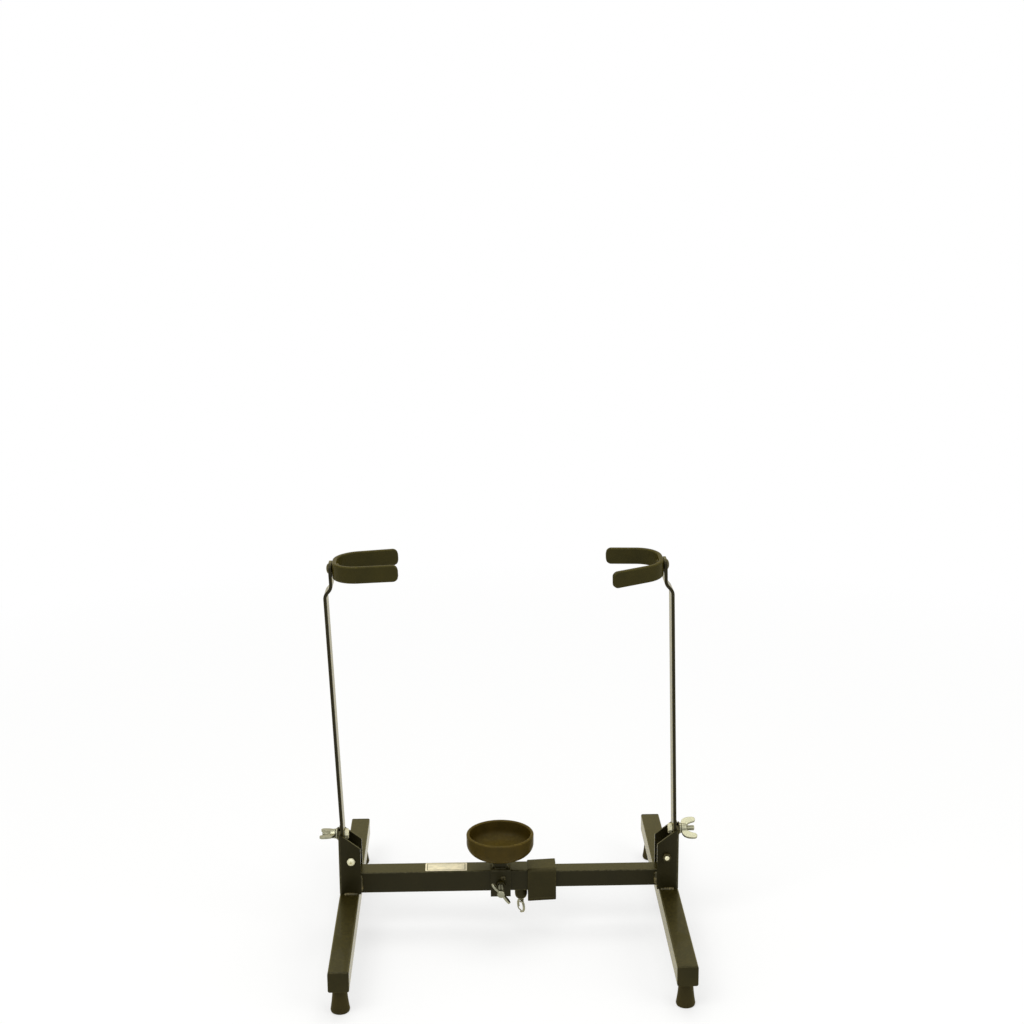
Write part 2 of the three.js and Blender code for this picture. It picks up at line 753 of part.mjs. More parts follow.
function clampNut() {
  const outline = hexagon(0, wingScrewZ, lockHeadFlats);
  outline.holes.push(disc(0, wingScrewZ, lockBoltRadius + fitGap));
  return prism("y", outline, -saddleOuter - clampNutHeight, -saddleOuter, discSteps);
}

// The wing screw's blade on +X, drawn in X and Z
function bladeOutline() {
  const middle = wingScrewHubHeight / 2;
  const round = bladeWidth / 2;
  const tipX = wingScrewSpan / 2 - round;
  const outline = new THREE.Shape();
  outline.moveTo(0, middle - bladeRoot / 2);
  outline.lineTo(tipX, middle - round);
  outline.absarc(tipX, middle, round, -Math.PI / 2, Math.PI / 2);
  outline.lineTo(0, middle + bladeRoot / 2);
  return outline;
}

// Short hub between two straight blades, standing on height 0 with its shank below
function cupWingScrew() {
  const half = bladeThickness / 2;
  const shank = rod("z", 0, 0, lockBoltRadius, -wingScrewReach - saddleSheet, wingScrewHubHeight / 2);
  let screw = rod("z", 0, 0, wingScrewHubRadius, 0, wingScrewHubHeight).add(shank);
  for (const turn of [0, Math.PI]) {
    const blade = prismGeometry("y", bladeOutline(), -half, half, edgeSteps);
    screw = screw.add(solidOf(blade.rotateZ(turn)));
  }
  return screw;
}

function cupPost() {
  const half = postWidth / 2;
  const depth = postDepth / 2;
  const post = prism("z", rectangle(-half, half, -depth, depth), saddleTop, cupBottom);
  const holeBottom = cupBottom + cupFloor - cupScrewHeadHeight - 2 * fitGap - cupScrewLength;
  return post.subtract(rod("z", 0, 0, cupScrewRadius + fitGap, holeBottom, cupBottom + cutOverrun));
}

// Points along the cup's rounded underside or inside, from the flat out to the upright side
function bowlCurve(flatRadius, sideRadius, flatZ, sideZ) {
  const curve = [];
  for (let i = curveSteps; i >= 0; i--) {
    const angle = (i * Math.PI) / 2 / curveSteps;
    const out = Math.max(Math.cos(angle), 0) ** cupRoundness;
    const down = Math.sin(angle) ** cupRoundness;
    const radius = flatRadius + (sideRadius - flatRadius) * out;
    curve.push(point(radius, flatZ + (sideZ - flatZ) * (1 - down)));
  }
  return curve;
}

// Open bowl with a flat seat and a recess for its screw
function cup() {
  const sideZ = cupBottom + cupHeight - cupSideHeight;
  const rimZ = cupBottom + cupHeight;
  const innerRadius = cupRadius - cupWall;
  const rimRadius = cupWall / 2;
  const profile = [point(0, cupBottom), ...bowlCurve(cupFootRadius, cupRadius, cupBottom, sideZ)];
  for (let i = 0; i <= edgeSteps + 1; i++) {
    const angle = (i * Math.PI) / (edgeSteps + 1);
    const radius = cupRadius - rimRadius + rimRadius * Math.cos(angle);
    profile.push(point(radius, rimZ - rimRadius + rimRadius * Math.sin(angle)));
  }
  profile.push(...bowlCurve(cupSeatRadius, innerRadius, cupSeat, sideZ).toReversed(), point(0, cupSeat));
  const recess = cupSeat - cupScrewHeadHeight - fitGap;
  return turned(profile)
    .subtract(rod("z", 0, 0, cupScrewRadius + fitGap, cupBottom - cutOverrun, cupSeat))
    .subtract(rod("z", 0, 0, cupScrewHeadRadius + fitGap, recess, cupSeat + cutOverrun));
}

// Everything of one side that stands on its leg, drawn for the right side
function sideFrame(side) {
  const { name, front } = side;
  const frame = new THREE.Group();
  const base = new THREE.Group();
  base.position.x = legHalfSpan;
  base.add(piece(`${name}_leg`, leg(), paint));
  for (const end of [-1, 1]) {
    const place = end === front ? "front" : "back";
    const plug = piece(`${name}_${place}_plug`, legPlug(), plastic);
    plug.rotation.z = end > 0 ? 0 : Math.PI;
    const rubberFoot = piece(`${name}_${place}_foot`, foot(), rubber);
    rubberFoot.position.y = end * (legLength / 2 - footInset);
    base.add(plug, rubberFoot);
  }
  const pivot = new THREE.Group();
  pivot.position.set(pivotX, 0, pivotZ);
  pivot.add(piece(`${name}_pivot_bolt`, pivotBolt(), zinc), piece(`${name}_pivot_nut`, pivotNut(), zinc));
  frame.add(base, piece(`${name}_bracket`, bracket(), paint), pivot, sideLock(side));
  return frame;
}

// Stud, washers and wing nut on the outside of the bracket
function sideLock(side) {
  const lock = new THREE.Group();
  lock.position.set(webOuter, 0, lockZ);
  const studRoot = webInner - webOuter;
  const studBody = rod("x", 0, 0, lockBoltRadius, studRoot, lockStudLength + studRoot);
  const stud = piece(`${side.name}_lock_stud`, studBody, zinc);
  const spacer = piece(`${side.name}_spacer_washer`, washer(spacerRadius, spacerHeight), spacerSteel);
  const plain = piece(`${side.name}_washer`, washer(washerRadius, washerHeight), zinc);
  plain.position.x = spacerHeight;
  const nut = piece(`${side.name}_wing_nut`, wingNut(), zinc);
  nut.position.x = spacerHeight + washerHeight + fitGap;
  nut.rotation.set(0, Math.PI / 2, side.wingTurn);
  lock.add(stud, spacer, plain, nut);
  return lock;
}

// Arm, clip and rivet of one side, hung on its pivot
function sideArm(side) {
  const { name, lean, clip } = side;
  const swing = new THREE.Group();
  swing.position.set(pivotX, 0, pivotZ);
  const boltHead = piece(`${name}_lock_bolt_head`, lockBoltHead(), zinc);
  boltHead.position.set(armInner - pivotX, 0, lockZ - pivotZ);
  const top = new THREE.Group();
  top.position.copy(rivetPoint(lean));
  top.rotation.y = lean;
  const band = new THREE.Group();
  band.position.x = -armThickness / 2 - fitGap - coverThickness / 2;
  band.rotation.x = clip.tilt;
  band.add(piece(`${name}_clip_strap`, clipStrap(clip), paint));
  band.add(piece(`${name}_clip_cover`, clipCover(clip), rubber));
  top.add(band, piece(`${name}_clip_rivet`, clipRivet(), zinc));
  swing.add(piece(`${name}_arm`, arm(lean), paint), boltHead, top);
  return swing;
}

// The spring lock under the crossbar
function crossbarLock() {
  const lock = new THREE.Group();
  lock.position.set(lockPinX, 0, legTop);
  const pinGroup = new THREE.Group();
  pinGroup.rotation.z = ringTurn;
  const ring = piece("pull_ring", pullRing(), zinc);
  ring.position.z = -bossHeight - pinEyeRadius - ringRadius;
  pinGroup.add(piece("lock_pin", lockPin(), zinc), ring);
  lock.add(piece("lock_boss", lockBoss(), plastic), piece("lock_spring", lockSpring(), zinc), pinGroup);
  return lock;
}

// The cup, its post and the clamp that slides on the crossbar
function cupCarriage() {
  const carriage = new THREE.Group();
  carriage.position.x = cupX;
  const setScrew = crossHeadScrew(setScrewRadius, saddleSheet, setScrewHeadRadius, setScrewHeadHeight);
  const setScrewMesh = piece("clamp_set_screw", setScrew, spacerSteel);
  setScrewMesh.position.set(setScrewShift, -saddleOuter, setScrewZ());
  setScrewMesh.rotation.x = Math.PI / 2;
  const wingScrew = piece("cup_wing_screw", cupWingScrew(), zinc);
  wingScrew.position.set(0, -saddleOuter - wingScrewReach, wingScrewZ);
  wingScrew.rotation.set(Math.PI / 2, 0, wingScrewTurn);
  const cupScrew = crossHeadScrew(cupScrewRadius, cupScrewLength, cupScrewHeadRadius, cupScrewHeadHeight);
  const cupScrewMesh = piece("cup_screw", cupScrew, zinc);
  cupScrewMesh.position.z = cupSeat - cupScrewHeadHeight - fitGap;
  carriage.add(piece("cup_clamp", cupClamp(), paint), piece("clamp_nut", clampNut(), paint));
  carriage.add(piece("cup_post", cupPost(), paint), piece("cup", cup(), rubber));
  carriage.add(setScrewMesh, wingScrew, cupScrewMesh);
  return carriage;
}

// The left side is the right one turned half round, so its front lies at +Y before the turn
const leftSide = {
  name: "left",
  turn: Math.PI,
  front: 1,
  lean: leftLean,
  wingTurn: leftWingTurn,
  clip: {
    plusLength: leftProngLength,
    minusLength: leftProngLength,
    plusFlare: leftFrontFlare,
    minusFlare: leftBackFlare,
    tilt: 0,
  },
};
const rightSide = {
  name: "right",
  turn: 0,
  front: -1,
  lean: rightLean,
  wingTurn: rightWingTurn,
  clip: {
    plusLength: rightBackProngLength,
    minusLength: rightFrontProngLength,
    plusFlare: rightBackFlare,
    minusFlare: rightFrontFlare,
    tilt: rightClipTilt,
  },
};

const stand = new THREE.Group();
for (const side of [leftSide, rightSide]) {
  const half = new THREE.Group();
  half.rotation.z = side.turn;
  half.add(sideFrame(side), sideArm(side));
  stand.add(half);
}
stand.add(
  piece("outer_crossbar", outerCrossbar(), paint),
  piece("inner_crossbar", innerCrossbar(), paint),
  piece("joint_sleeve", jointSleeve(), plastic),
  crossbarLock(),
  cupCarriage(),
);

export default stand;
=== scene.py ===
"""Dresses the folding stand's frame with finely made pieces, their finishes and a plain studio."""
from math import acos, atan2, ceil, cos, pi, radians, sin, sqrt, tan

import bmesh
import bpy
from mathutils import Matrix, Vector


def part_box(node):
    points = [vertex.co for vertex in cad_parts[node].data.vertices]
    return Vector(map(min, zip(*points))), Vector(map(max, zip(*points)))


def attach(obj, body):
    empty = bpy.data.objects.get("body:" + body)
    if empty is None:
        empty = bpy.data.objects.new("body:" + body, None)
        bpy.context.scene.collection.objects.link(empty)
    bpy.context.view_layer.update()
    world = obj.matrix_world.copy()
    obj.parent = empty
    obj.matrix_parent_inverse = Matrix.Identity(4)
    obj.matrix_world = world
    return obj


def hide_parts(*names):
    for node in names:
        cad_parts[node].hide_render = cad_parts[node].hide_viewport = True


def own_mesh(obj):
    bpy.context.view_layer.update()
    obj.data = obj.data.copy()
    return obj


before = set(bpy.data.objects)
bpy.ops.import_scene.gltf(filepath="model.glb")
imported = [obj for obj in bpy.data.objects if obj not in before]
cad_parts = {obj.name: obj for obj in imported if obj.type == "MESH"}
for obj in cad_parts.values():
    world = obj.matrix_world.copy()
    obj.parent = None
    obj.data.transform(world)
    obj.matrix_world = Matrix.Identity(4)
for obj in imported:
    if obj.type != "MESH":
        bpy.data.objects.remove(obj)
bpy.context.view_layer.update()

bl_info = {
    "name": "Instrument Stand",
    "version": (1, 0, 0),
    "blender": (4, 5, 0),
    "location": "View3D > Sidebar > Stand",
    "description": "Builds the visible pieces of a folding instrument stand round its frame",
    "category": "Add Mesh",
}

MM = 0.001
GAP = 0.3 * MM
TINY = 1e-7
# Stock thicknesses, bends of the sheet, screw sizes (radii), and how far a cut reaches past a face
TUBE_WALL = 1.5 * MM
SHEET = 2 * MM
OUTER_BEND = 2.6 * MM
INNER_BEND = 0.6 * MM
M4_RADIUS, M4_HOLE, M4_PITCH = 2 * MM, 2.3 * MM, 0.7 * MM
M5_RADIUS, M5_HOLE, M5_NUT_BORE = 2.5 * MM, 2.8 * MM, 2.75 * MM
ARM_THICK = 3 * MM
OVER = 3 * MM
HALF_TURN = Matrix.Rotation(pi, 4, "Z")
UP = Vector((0, 0, 1))
ALONG_X = Vector((1, 0, 0))
ALONG_Y = Vector((0, 1, 0))


def span(node, axis):
    """Lowest and highest value of a CAD node along an axis."""
    low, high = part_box(node)
    return low[axis], high[axis]


def middle(node, axis):
    return sum(span(node, axis)) / 2


# Places that the frame gives
LEG_LOW, LEG_HIGH = span("right_leg", 2)
LEG_X = middle("right_leg", 0)
LEG_HALF = (LEG_HIGH - LEG_LOW) / 2
LEG_END = span("right_leg", 1)[1]
LEG_TIP = span("right_back_plug", 1)[1]
FOOT_Y = middle("right_back_foot", 1)
BAR_LOW, BAR_TOP = span("outer_crossbar", 2)
BAR_Z = (BAR_LOW + BAR_TOP) / 2
BAR_HALF = (BAR_TOP - BAR_LOW) / 2
INNER_HALF = (span("inner_crossbar", 2)[1] - span("inner_crossbar", 2)[0]) / 2
PLATE_EDGE, WEB_OUTER = span("right_bracket", 0)
PLATE_Y = span("right_bracket", 1)[1]
WEB_TOP = span("right_bracket", 2)[1]
PIVOT_X = middle("right_pivot_nut", 0)
PIVOT_Z = middle("right_pivot_nut", 2)
LOCK_Z = middle("right_washer", 2)
CUP_X = middle("cup", 0)
CUP_LOW, CUP_TOP = span("cup", 2)
CUP_RADIUS = (span("cup", 0)[1] - span("cup", 0)[0]) / 2
SADDLE_LOW, SADDLE_TOP = span("cup_clamp", 2)
SADDLE_Y = span("cup_clamp", 1)[1]
WING_SCREW_Z = middle("clamp_nut", 2)
BOSS_X = middle("lock_boss", 0)
BOSS_LOW = span("lock_boss", 2)[0]
SLEEVE_START, SLEEVE_END = span("joint_sleeve", 0)


class StandSizes(bpy.types.PropertyGroup):
    edge: bpy.props.FloatProperty(
        name="Sheet edge", description="Rounding of the cut edges of sheet and bar",
        default=0.35 * MM, min=0.05 * MM, max=0.8 * MM, unit="LENGTH", precision=5)
    tube_corner: bpy.props.FloatProperty(
        name="Leg corner", description="Outer corner radius of the square leg tubes",
        default=1.6 * MM, min=0.5 * MM, max=5 * MM, unit="LENGTH", precision=5)
    bar_corner: bpy.props.FloatProperty(
        name="Crossbar corner", description="Outer corner radius of the crossbar tubes",
        default=1.1 * MM, min=0.5 * MM, max=4 * MM, unit="LENGTH", precision=5)
    rubber_edge: bpy.props.FloatProperty(
        name="Rubber edge", description="Rounding of the clips' rubber covers",
        default=1.3 * MM, min=0.3 * MM, max=2 * MM, unit="LENGTH", precision=5)
    weld_radius: bpy.props.FloatProperty(
        name="Weld bead", description="Radius of the weld beads",
        default=1.7 * MM, min=0.5 * MM, max=2.5 * MM, unit="LENGTH", precision=5)
    thread_pitch: bpy.props.FloatProperty(
        name="Thread pitch", description="Pitch of the lock studs and the wing screw",
        default=0.8 * MM, min=0.4 * MM, max=1.5 * MM, unit="LENGTH", precision=5)
    ring_wire: bpy.props.FloatProperty(
        name="Ring wire", description="Wire thickness of the pull ring",
        default=1.2 * MM, min=0.6 * MM, max=1.6 * MM, unit="LENGTH", precision=5)
    sticker_length: bpy.props.FloatProperty(
        name="Sticker", description="Length of the bare sticker on the crossbar",
        default=38.4 * MM, min=10 * MM, max=60 * MM, unit="LENGTH", precision=4)
    floor_radius: bpy.props.FloatProperty(
        name="Floor", description="Radius of the studio floor",
        default=9, min=2, max=50, unit="LENGTH")


def colour_property(name, description, default):
    return bpy.props.FloatVectorProperty(
        name=name, description=description, subtype="COLOR", size=3, min=0, max=1,
        default=default)


class StandColours(bpy.types.PropertyGroup):
    paint: colour_property(
        "Paint", "Semi-gloss paint on tubes, sheet and bar", (0.0092, 0.0083, 0.0036))
    foot: colour_property("Feet", "Rubber of the feet", (0.024, 0.020, 0.008))
    cup: colour_property("Cup", "Rubber of the cup", (0.036, 0.0255, 0.0055))
    clip: colour_property("Clips", "Rubber of the clip covers", (0.022, 0.020, 0.006))
    plastic: colour_property(
        "Plastic", "Plugs, sleeve and lock boss", (0.018, 0.016, 0.007))
    zinc: colour_property(
        "Zinc plate", "Wing nuts, wing screw, washers and ring", (0.25, 0.262, 0.215))
    bright_zinc: colour_property(
        "Bright zinc", "Hexagon heads of the lock bolts, pivot bolts", (0.66, 0.68, 0.54))
    dark_steel: colour_property(
        "Dark steel", "Spacer washers, pivot nuts, rivets and set screw", (0.034, 0.031, 0.021))
    sticker: colour_property(
        "Sticker", "Bare paper sticker", (0.70, 0.68, 0.57))


# Outlines

def filleted(corners, steps=5, closed=True):
    """The outline with its corners rounded; a corner's radius is its third number, if any."""
    line = []
    count = len(corners)
    for i, corner in enumerate(corners):
        at = Vector(corner[:2])
        size = corner[2] if len(corner) > 2 else 0
        if size <= 0 or (not closed and i in (0, count - 1)):
            line.append((at.x, at.y))
            continue
        back = Vector(corners[i - 1][:2]) - at
        ahead = Vector(corners[(i + 1) % count][:2]) - at
        half = acos(max(-1, min(1, back.normalized().dot(ahead.normalized())))) / 2
        if half > pi / 2 - 0.01:
            line.append((at.x, at.y))
            continue
        reach = min(size / tan(half), back.length * 0.49, ahead.length * 0.49)
        turn = reach * tan(half)
        centre = at + (back.normalized() + ahead.normalized()).normalized() * turn / sin(half)
        first = at + back.normalized() * reach - centre
        last = at + ahead.normalized() * reach - centre
        sweep = atan2(first.cross(last), first.dot(last))
        start = atan2(first.y, first.x)
        for k in range(steps + 1):
            angle = start + sweep * k / steps
            line.append((centre.x + turn * cos(angle), centre.y + turn * sin(angle)))
    return line


def rounded_box(half_a, half_b, radius, steps=6):
    """Outline of a rounded rectangle round the middle, always with the same number of points."""
    size = max(min(radius, half_a, half_b), TINY)
    line = []
    for quarter, (side_a, side_b) in enumerate(((1, -1), (1, 1), (-1, 1), (-1, -1))):
        for k in range(steps + 1):
            angle = (quarter - 1 + k / steps) * pi / 2
            line.append((side_a * (half_a - size) + size * cos(angle),
                         side_b * (half_b - size) + size * sin(angle)))
    return line


def circle(radius, steps):
    return [(radius * cos(2 * pi * k / steps), radius * sin(2 * pi * k / steps))
            for k in range(steps)]


def hexagon(flats):
    reach = flats / sqrt(3)
    return [(reach * cos(k * pi / 3), reach * sin(k * pi / 3)) for k in range(6)]


def pull_in(distance, radius):
    """How far a rounded end draws in at a distance from its tip."""
    if distance >= radius:
        return 0
    return radius - sqrt(radius ** 2 - (radius - distance) ** 2)


# Shapes

def loft(rings, closed=False):
    """A solid through rings of points, either closed on itself or capped at both ends."""
    bm = bmesh.new()
    rows = [[bm.verts.new(point) for point in ring] for ring in rings]
    pairs = list(zip(rows, rows[1:]))
    if closed:
        pairs.append((rows[-1], rows[0]))
    for row, after in pairs:
        for i in range(len(row)):
            j = (i + 1) % len(row)
            bm.faces.new((row[i], row[j], after[j], after[i]))
    if not closed:
        bm.faces.new(list(reversed(rows[0])))
        bm.faces.new(rows[-1])
    bmesh.ops.recalc_face_normals(bm, faces=bm.faces)
    return bm


AXIS_PLACE = {
    "x": lambda a, b, along: (along, a, b),
    "y": lambda a, b, along: (a, along, b),
    "z": lambda a, b, along: (a, b, along),
}


def section(axis, outline, along, centre=(0, 0)):
    place = AXIS_PLACE[axis]
    return [place(a + centre[0], b + centre[1], along) for a, b in outline]


def prism(axis, outline, start, end, centre=(0, 0)):
    return loft([section(axis, outline, at, centre) for at in (start, end)])


def rod(axis, radius, start, end, centre=(0, 0), steps=28):
    """A plain round bar, which mostly cuts a hole."""
    return prism(axis, circle(radius, steps), start, end, centre)


def square_tube(axis, centre, half, corner, start, end):
    """A rounded square tube with lightly broken ends."""
    ease = 0.25 * MM
    inner = half - TUBE_WALL
    stations = [
        (start, half - ease, corner), (start + ease, half, corner),
        (end - ease, half, corner), (end, half - ease, corner),
        (end, inner, corner / 2), (start, inner, corner / 2),
    ]
    rings = [section(axis, rounded_box(size, size, radius), at, centre)
             for at, size, radius in stations]
    return loft(rings, closed=True)


def stepped_block(axis, centre, stations):
    """A solid through rounded rectangles, given as (place, half a, half b, corner)."""
    return loft([section(axis, rounded_box(a, b, radius), at, centre)
                 for at, a, b, radius in stations])


def turned(profile, segments=64, closed=False):
    """A profile of (radius, height) turned about Z; closed for a ring with a bore."""
    bm = bmesh.new()
    rows = []
    for radius, height in profile:
        if radius < TINY:
            rows.append([bm.verts.new((0, 0, height))])
            continue
        rows.append([bm.verts.new((radius * cos(2 * pi * k / segments),
                                   radius * sin(2 * pi * k / segments), height))
                     for k in range(segments)])
    pairs = list(zip(rows, rows[1:]))
    if closed:
        pairs.append((rows[-1], rows[0]))
    for row, after in pairs:
        for i in range(segments):
            j = (i + 1) % segments
            if len(row) == 1:
                bm.faces.new((row[0], after[i], after[j]))
            elif len(after) == 1:
                bm.faces.new((row[i], row[j], after[0]))
            else:
                bm.faces.new((row[i], row[j], after[j], after[i]))
    bmesh.ops.recalc_face_normals(bm, faces=bm.faces)
    return bm


def swept(path, width, outlines):
    """Outlines carried along a path; their second direction keeps to the width direction."""
    points = [Vector(p) for p in path]
    rings = []
    for i, at in enumerate(points):
        before = points[max(i - 1, 0)]
        after = points[min(i + 1, len(points) - 1)]
        ahead = (after - before).normalized()
        across = ahead.cross(width).normalized()
        up = across.cross(ahead).normalized()
        rings.append([at + across * a + up * b for a, b in outlines[i]])
    return loft(rings)


def threaded(radius, length, pitch, lead=0.6 * MM):
    """A screw thread standing on Z, with a chamfered end."""
    sides, rows_per_turn = 24, 6
    depth = 0.3 * pitch
    rows = ceil(length / pitch * rows_per_turn)
    rings = []
    for i in range(rows + 1):
        height = length * i / rows
        ring = []
        for k in range(sides):
            share = (height / pitch - k / sides) % 1
            groove = depth * abs(2 * share - 1)
            tip = max(0, lead - (length - height))
            size = min(radius - groove, radius - tip)
            angle = 2 * pi * k / sides
            ring.append((size * cos(angle), size * sin(angle), height))
        rings.append(ring)
    return loft(rings)


# Joining, cutting and rounding

def loose_object(bm, name="shape"):
    mesh = bpy.data.meshes.new(name)
    bm.to_mesh(mesh)
    bm.free()
    obj = bpy.data.objects.new(name, mesh)
    bpy.context.scene.collection.objects.link(obj)
    return obj


def through_modifiers(obj, others=()):
    """The object's mesh with its modifiers worked in; the objects used are cleared away."""
    graph = bpy.context.evaluated_depsgraph_get()
    result = bmesh.new()
    result.from_mesh(bpy.data.meshes.new_from_object(obj.evaluated_get(graph)))
    for used in (obj, *others):
        mesh = used.data
        bpy.data.objects.remove(used)
        bpy.data.meshes.remove(mesh)
    if not result.faces:
        raise RuntimeError("a join or cut left nothing")
    return result


def combined(bm, tools, operation):
    host = loose_object(bm)
    helpers = []
    for tool in tools:
        helper = loose_object(tool, "tool")
        modifier = host.modifiers.new("Work", "BOOLEAN")
        modifier.operation = operation
        modifier.solver = "EXACT"
        modifier.object = helper
        helpers.append(helper)
    result = through_modifiers(host, helpers)
    bmesh.ops.remove_doubles(result, verts=result.verts, dist=1e-6)
    return result


def cut(bm, *tools):
    return combined(bm, tools, "DIFFERENCE")


def joined(bm, *tools):
    return combined(bm, tools, "UNION")


def common(bm, *tools):
    return combined(bm, tools, "INTERSECT")


def softened(bm, width, angle):
    """Rounds every edge that is sharper than the angle, given in degrees."""
    flat = radians(0.5)
    bmesh.ops.dissolve_limit(bm, angle_limit=flat, verts=bm.verts, edges=bm.edges)
    sharp = [edge for edge in bm.edges
             if edge.is_manifold and edge.calc_face_angle() > radians(angle)]
    bmesh.ops.bevel(bm, geom=sharp, offset=width, segments=2, profile=0.5,
                    affect="EDGES", clamp_overlap=True)
    return bm


def moved(bm, *steps):
    """Applies the steps in the order in which they are written."""
    for step in steps:
        bm.transform(step)
    bmesh.ops.recalc_face_normals(bm, faces=bm.faces)
    return bm


def shift(x=0.0, y=0.0, z=0.0):
    return Matrix.Translation((x, y, z))


def turn(axis, angle):
    return Matrix.Rotation(angle, 4, axis)


def mark_edges(mesh):
    """Marks the narrow faces along rounded edges, where a finish wears first and where a painted
    edge highlight goes.
    """
    widest, full_bend = 0.8 * MM, radians(14)
    bm = bmesh.new()
    bm.from_mesh(mesh)
    layer = bm.faces.layers.float.new("edge")
    for face in bm.faces:
        long_sides = sorted(face.edges, key=lambda edge: edge.calc_length())[-2:]
        longest = long_sides[-1].calc_length()
        bend = min(edge.calc_face_angle(0) for edge in long_sides)
        narrow = face.calc_area() / max(longest, TINY) < widest
        face[layer] = min(1, bend / full_bend) if narrow else 0
    bm.to_mesh(mesh)
    bm.free()


def put(name, bm, finish, body, replaces=()):
    """Places a finished piece: its mesh, material, body and the CAD nodes that it stands for."""
    most_corners, sharp_angle = 8, radians(34)
    mesh = bpy.data.meshes.new(name)
    bmesh.ops.triangulate(bm, faces=[face for face in bm.faces
                                     if len(face.verts) > most_corners])
    bm.to_mesh(mesh)
    bm.free()
    mark_edges(mesh)
    mesh.shade_smooth()
    mesh.set_sharp_from_angle(angle=sharp_angle)
    material, slot = finish
    mesh.materials.append(material)
    piece = bpy.data.objects.new(name, mesh)
    bpy.context.scene.collection.objects.link(piece)
    evening = piece.modifiers.new("Even shading", "WEIGHTED_NORMAL")
    evening.keep_sharp = True
    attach(piece, body)
    if replaces:
        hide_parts(*replaces)
    return piece


def sides():
    """Name, body of the frame half, and placing of each side; all is drawn for the right."""
    return (("right", "right_frame", Matrix.Identity(4)), ("left", "left_frame", HALF_TURN))


# Finishes

def node(tree, kind, **settings):
    """A shader node; a setting that starts with in_ goes to the input it names or numbers."""
    made = tree.nodes.new(kind)
    for key, value in settings.items():
        if key.startswith("in_"):
            place = key[3:]
            socket = int(place) if place.isdigit() else place.replace("_", " ")
            made.inputs[socket].default_value = value
        else:
            setattr(made, key, value)
    return made


def noise(tree, coordinates, scale, detail=3.0, roughness=0.55, distortion=0.0):
    made = node(tree, "ShaderNodeTexNoise", in_Scale=scale, in_Detail=detail,
                in_Roughness=roughness, in_Distortion=distortion)
    tree.links.new(coordinates, made.inputs["Vector"])
    return made.outputs["Fac"]


def ranged(tree, value, low, high, to_low, to_high):
    made = node(tree, "ShaderNodeMapRange", in_1=low, in_2=high, in_3=to_low, in_4=to_high)
    tree.links.new(value, made.inputs[0])
    return made.outputs["Result"]


def times(tree, first, second):
    made = node(tree, "ShaderNodeMath", operation="MULTIPLY", use_clamp=True)
    for i, value in enumerate((first, second)):
        if isinstance(value, (int, float)):
            made.inputs[i].default_value = value
        else:
            tree.links.new(value, made.inputs[i])
    return made.outputs[0]


def plus(tree, first, second):
    made = node(tree, "ShaderNodeMath", operation="ADD", use_clamp=True)
    tree.links.new(first, made.inputs[0])
    tree.links.new(second, made.inputs[1])
    return made.outputs[0]


def blended(tree, share, first, second):
    """A mix of two colours, each a socket or three numbers."""
    made = node(tree, "ShaderNodeMix", data_type="RGBA")
    tree.links.new(share, made.inputs["Factor"])
    for socket, value in ((made.inputs[6], first), (made.inputs[7], second)):
        if isinstance(value, bpy.types.NodeSocket):
            tree.links.new(value, socket)
        else:
            socket.default_value = (*value, 1)
    return made.outputs[2]


def shade(colour, factor, warmth=0.0):
    """The colour made lighter or darker, and warmer where a warmth is given."""
    red, green, blue = colour
    return (min(1, red * factor * (1 + warmth)), min(1, green * factor),
            min(1, blue * factor * (1 - warmth)))


# Noise scales of rubbed edges (whose pale worn colour is partly a painted highlight) and of
# settled dust (partly a painted sheen on upward faces), that colour, and tints of the top coat
WEAR_AND_HIGHLIGHT_SCALE = 260
DUST_AND_SHEEN_SCALE = 420
DUST_AND_SHEEN = (0.30, 0.255, 0.10)
DARK_TINT = (1, 0.95, 0.66)
PALE_TINT = (1, 0.97, 0.86)


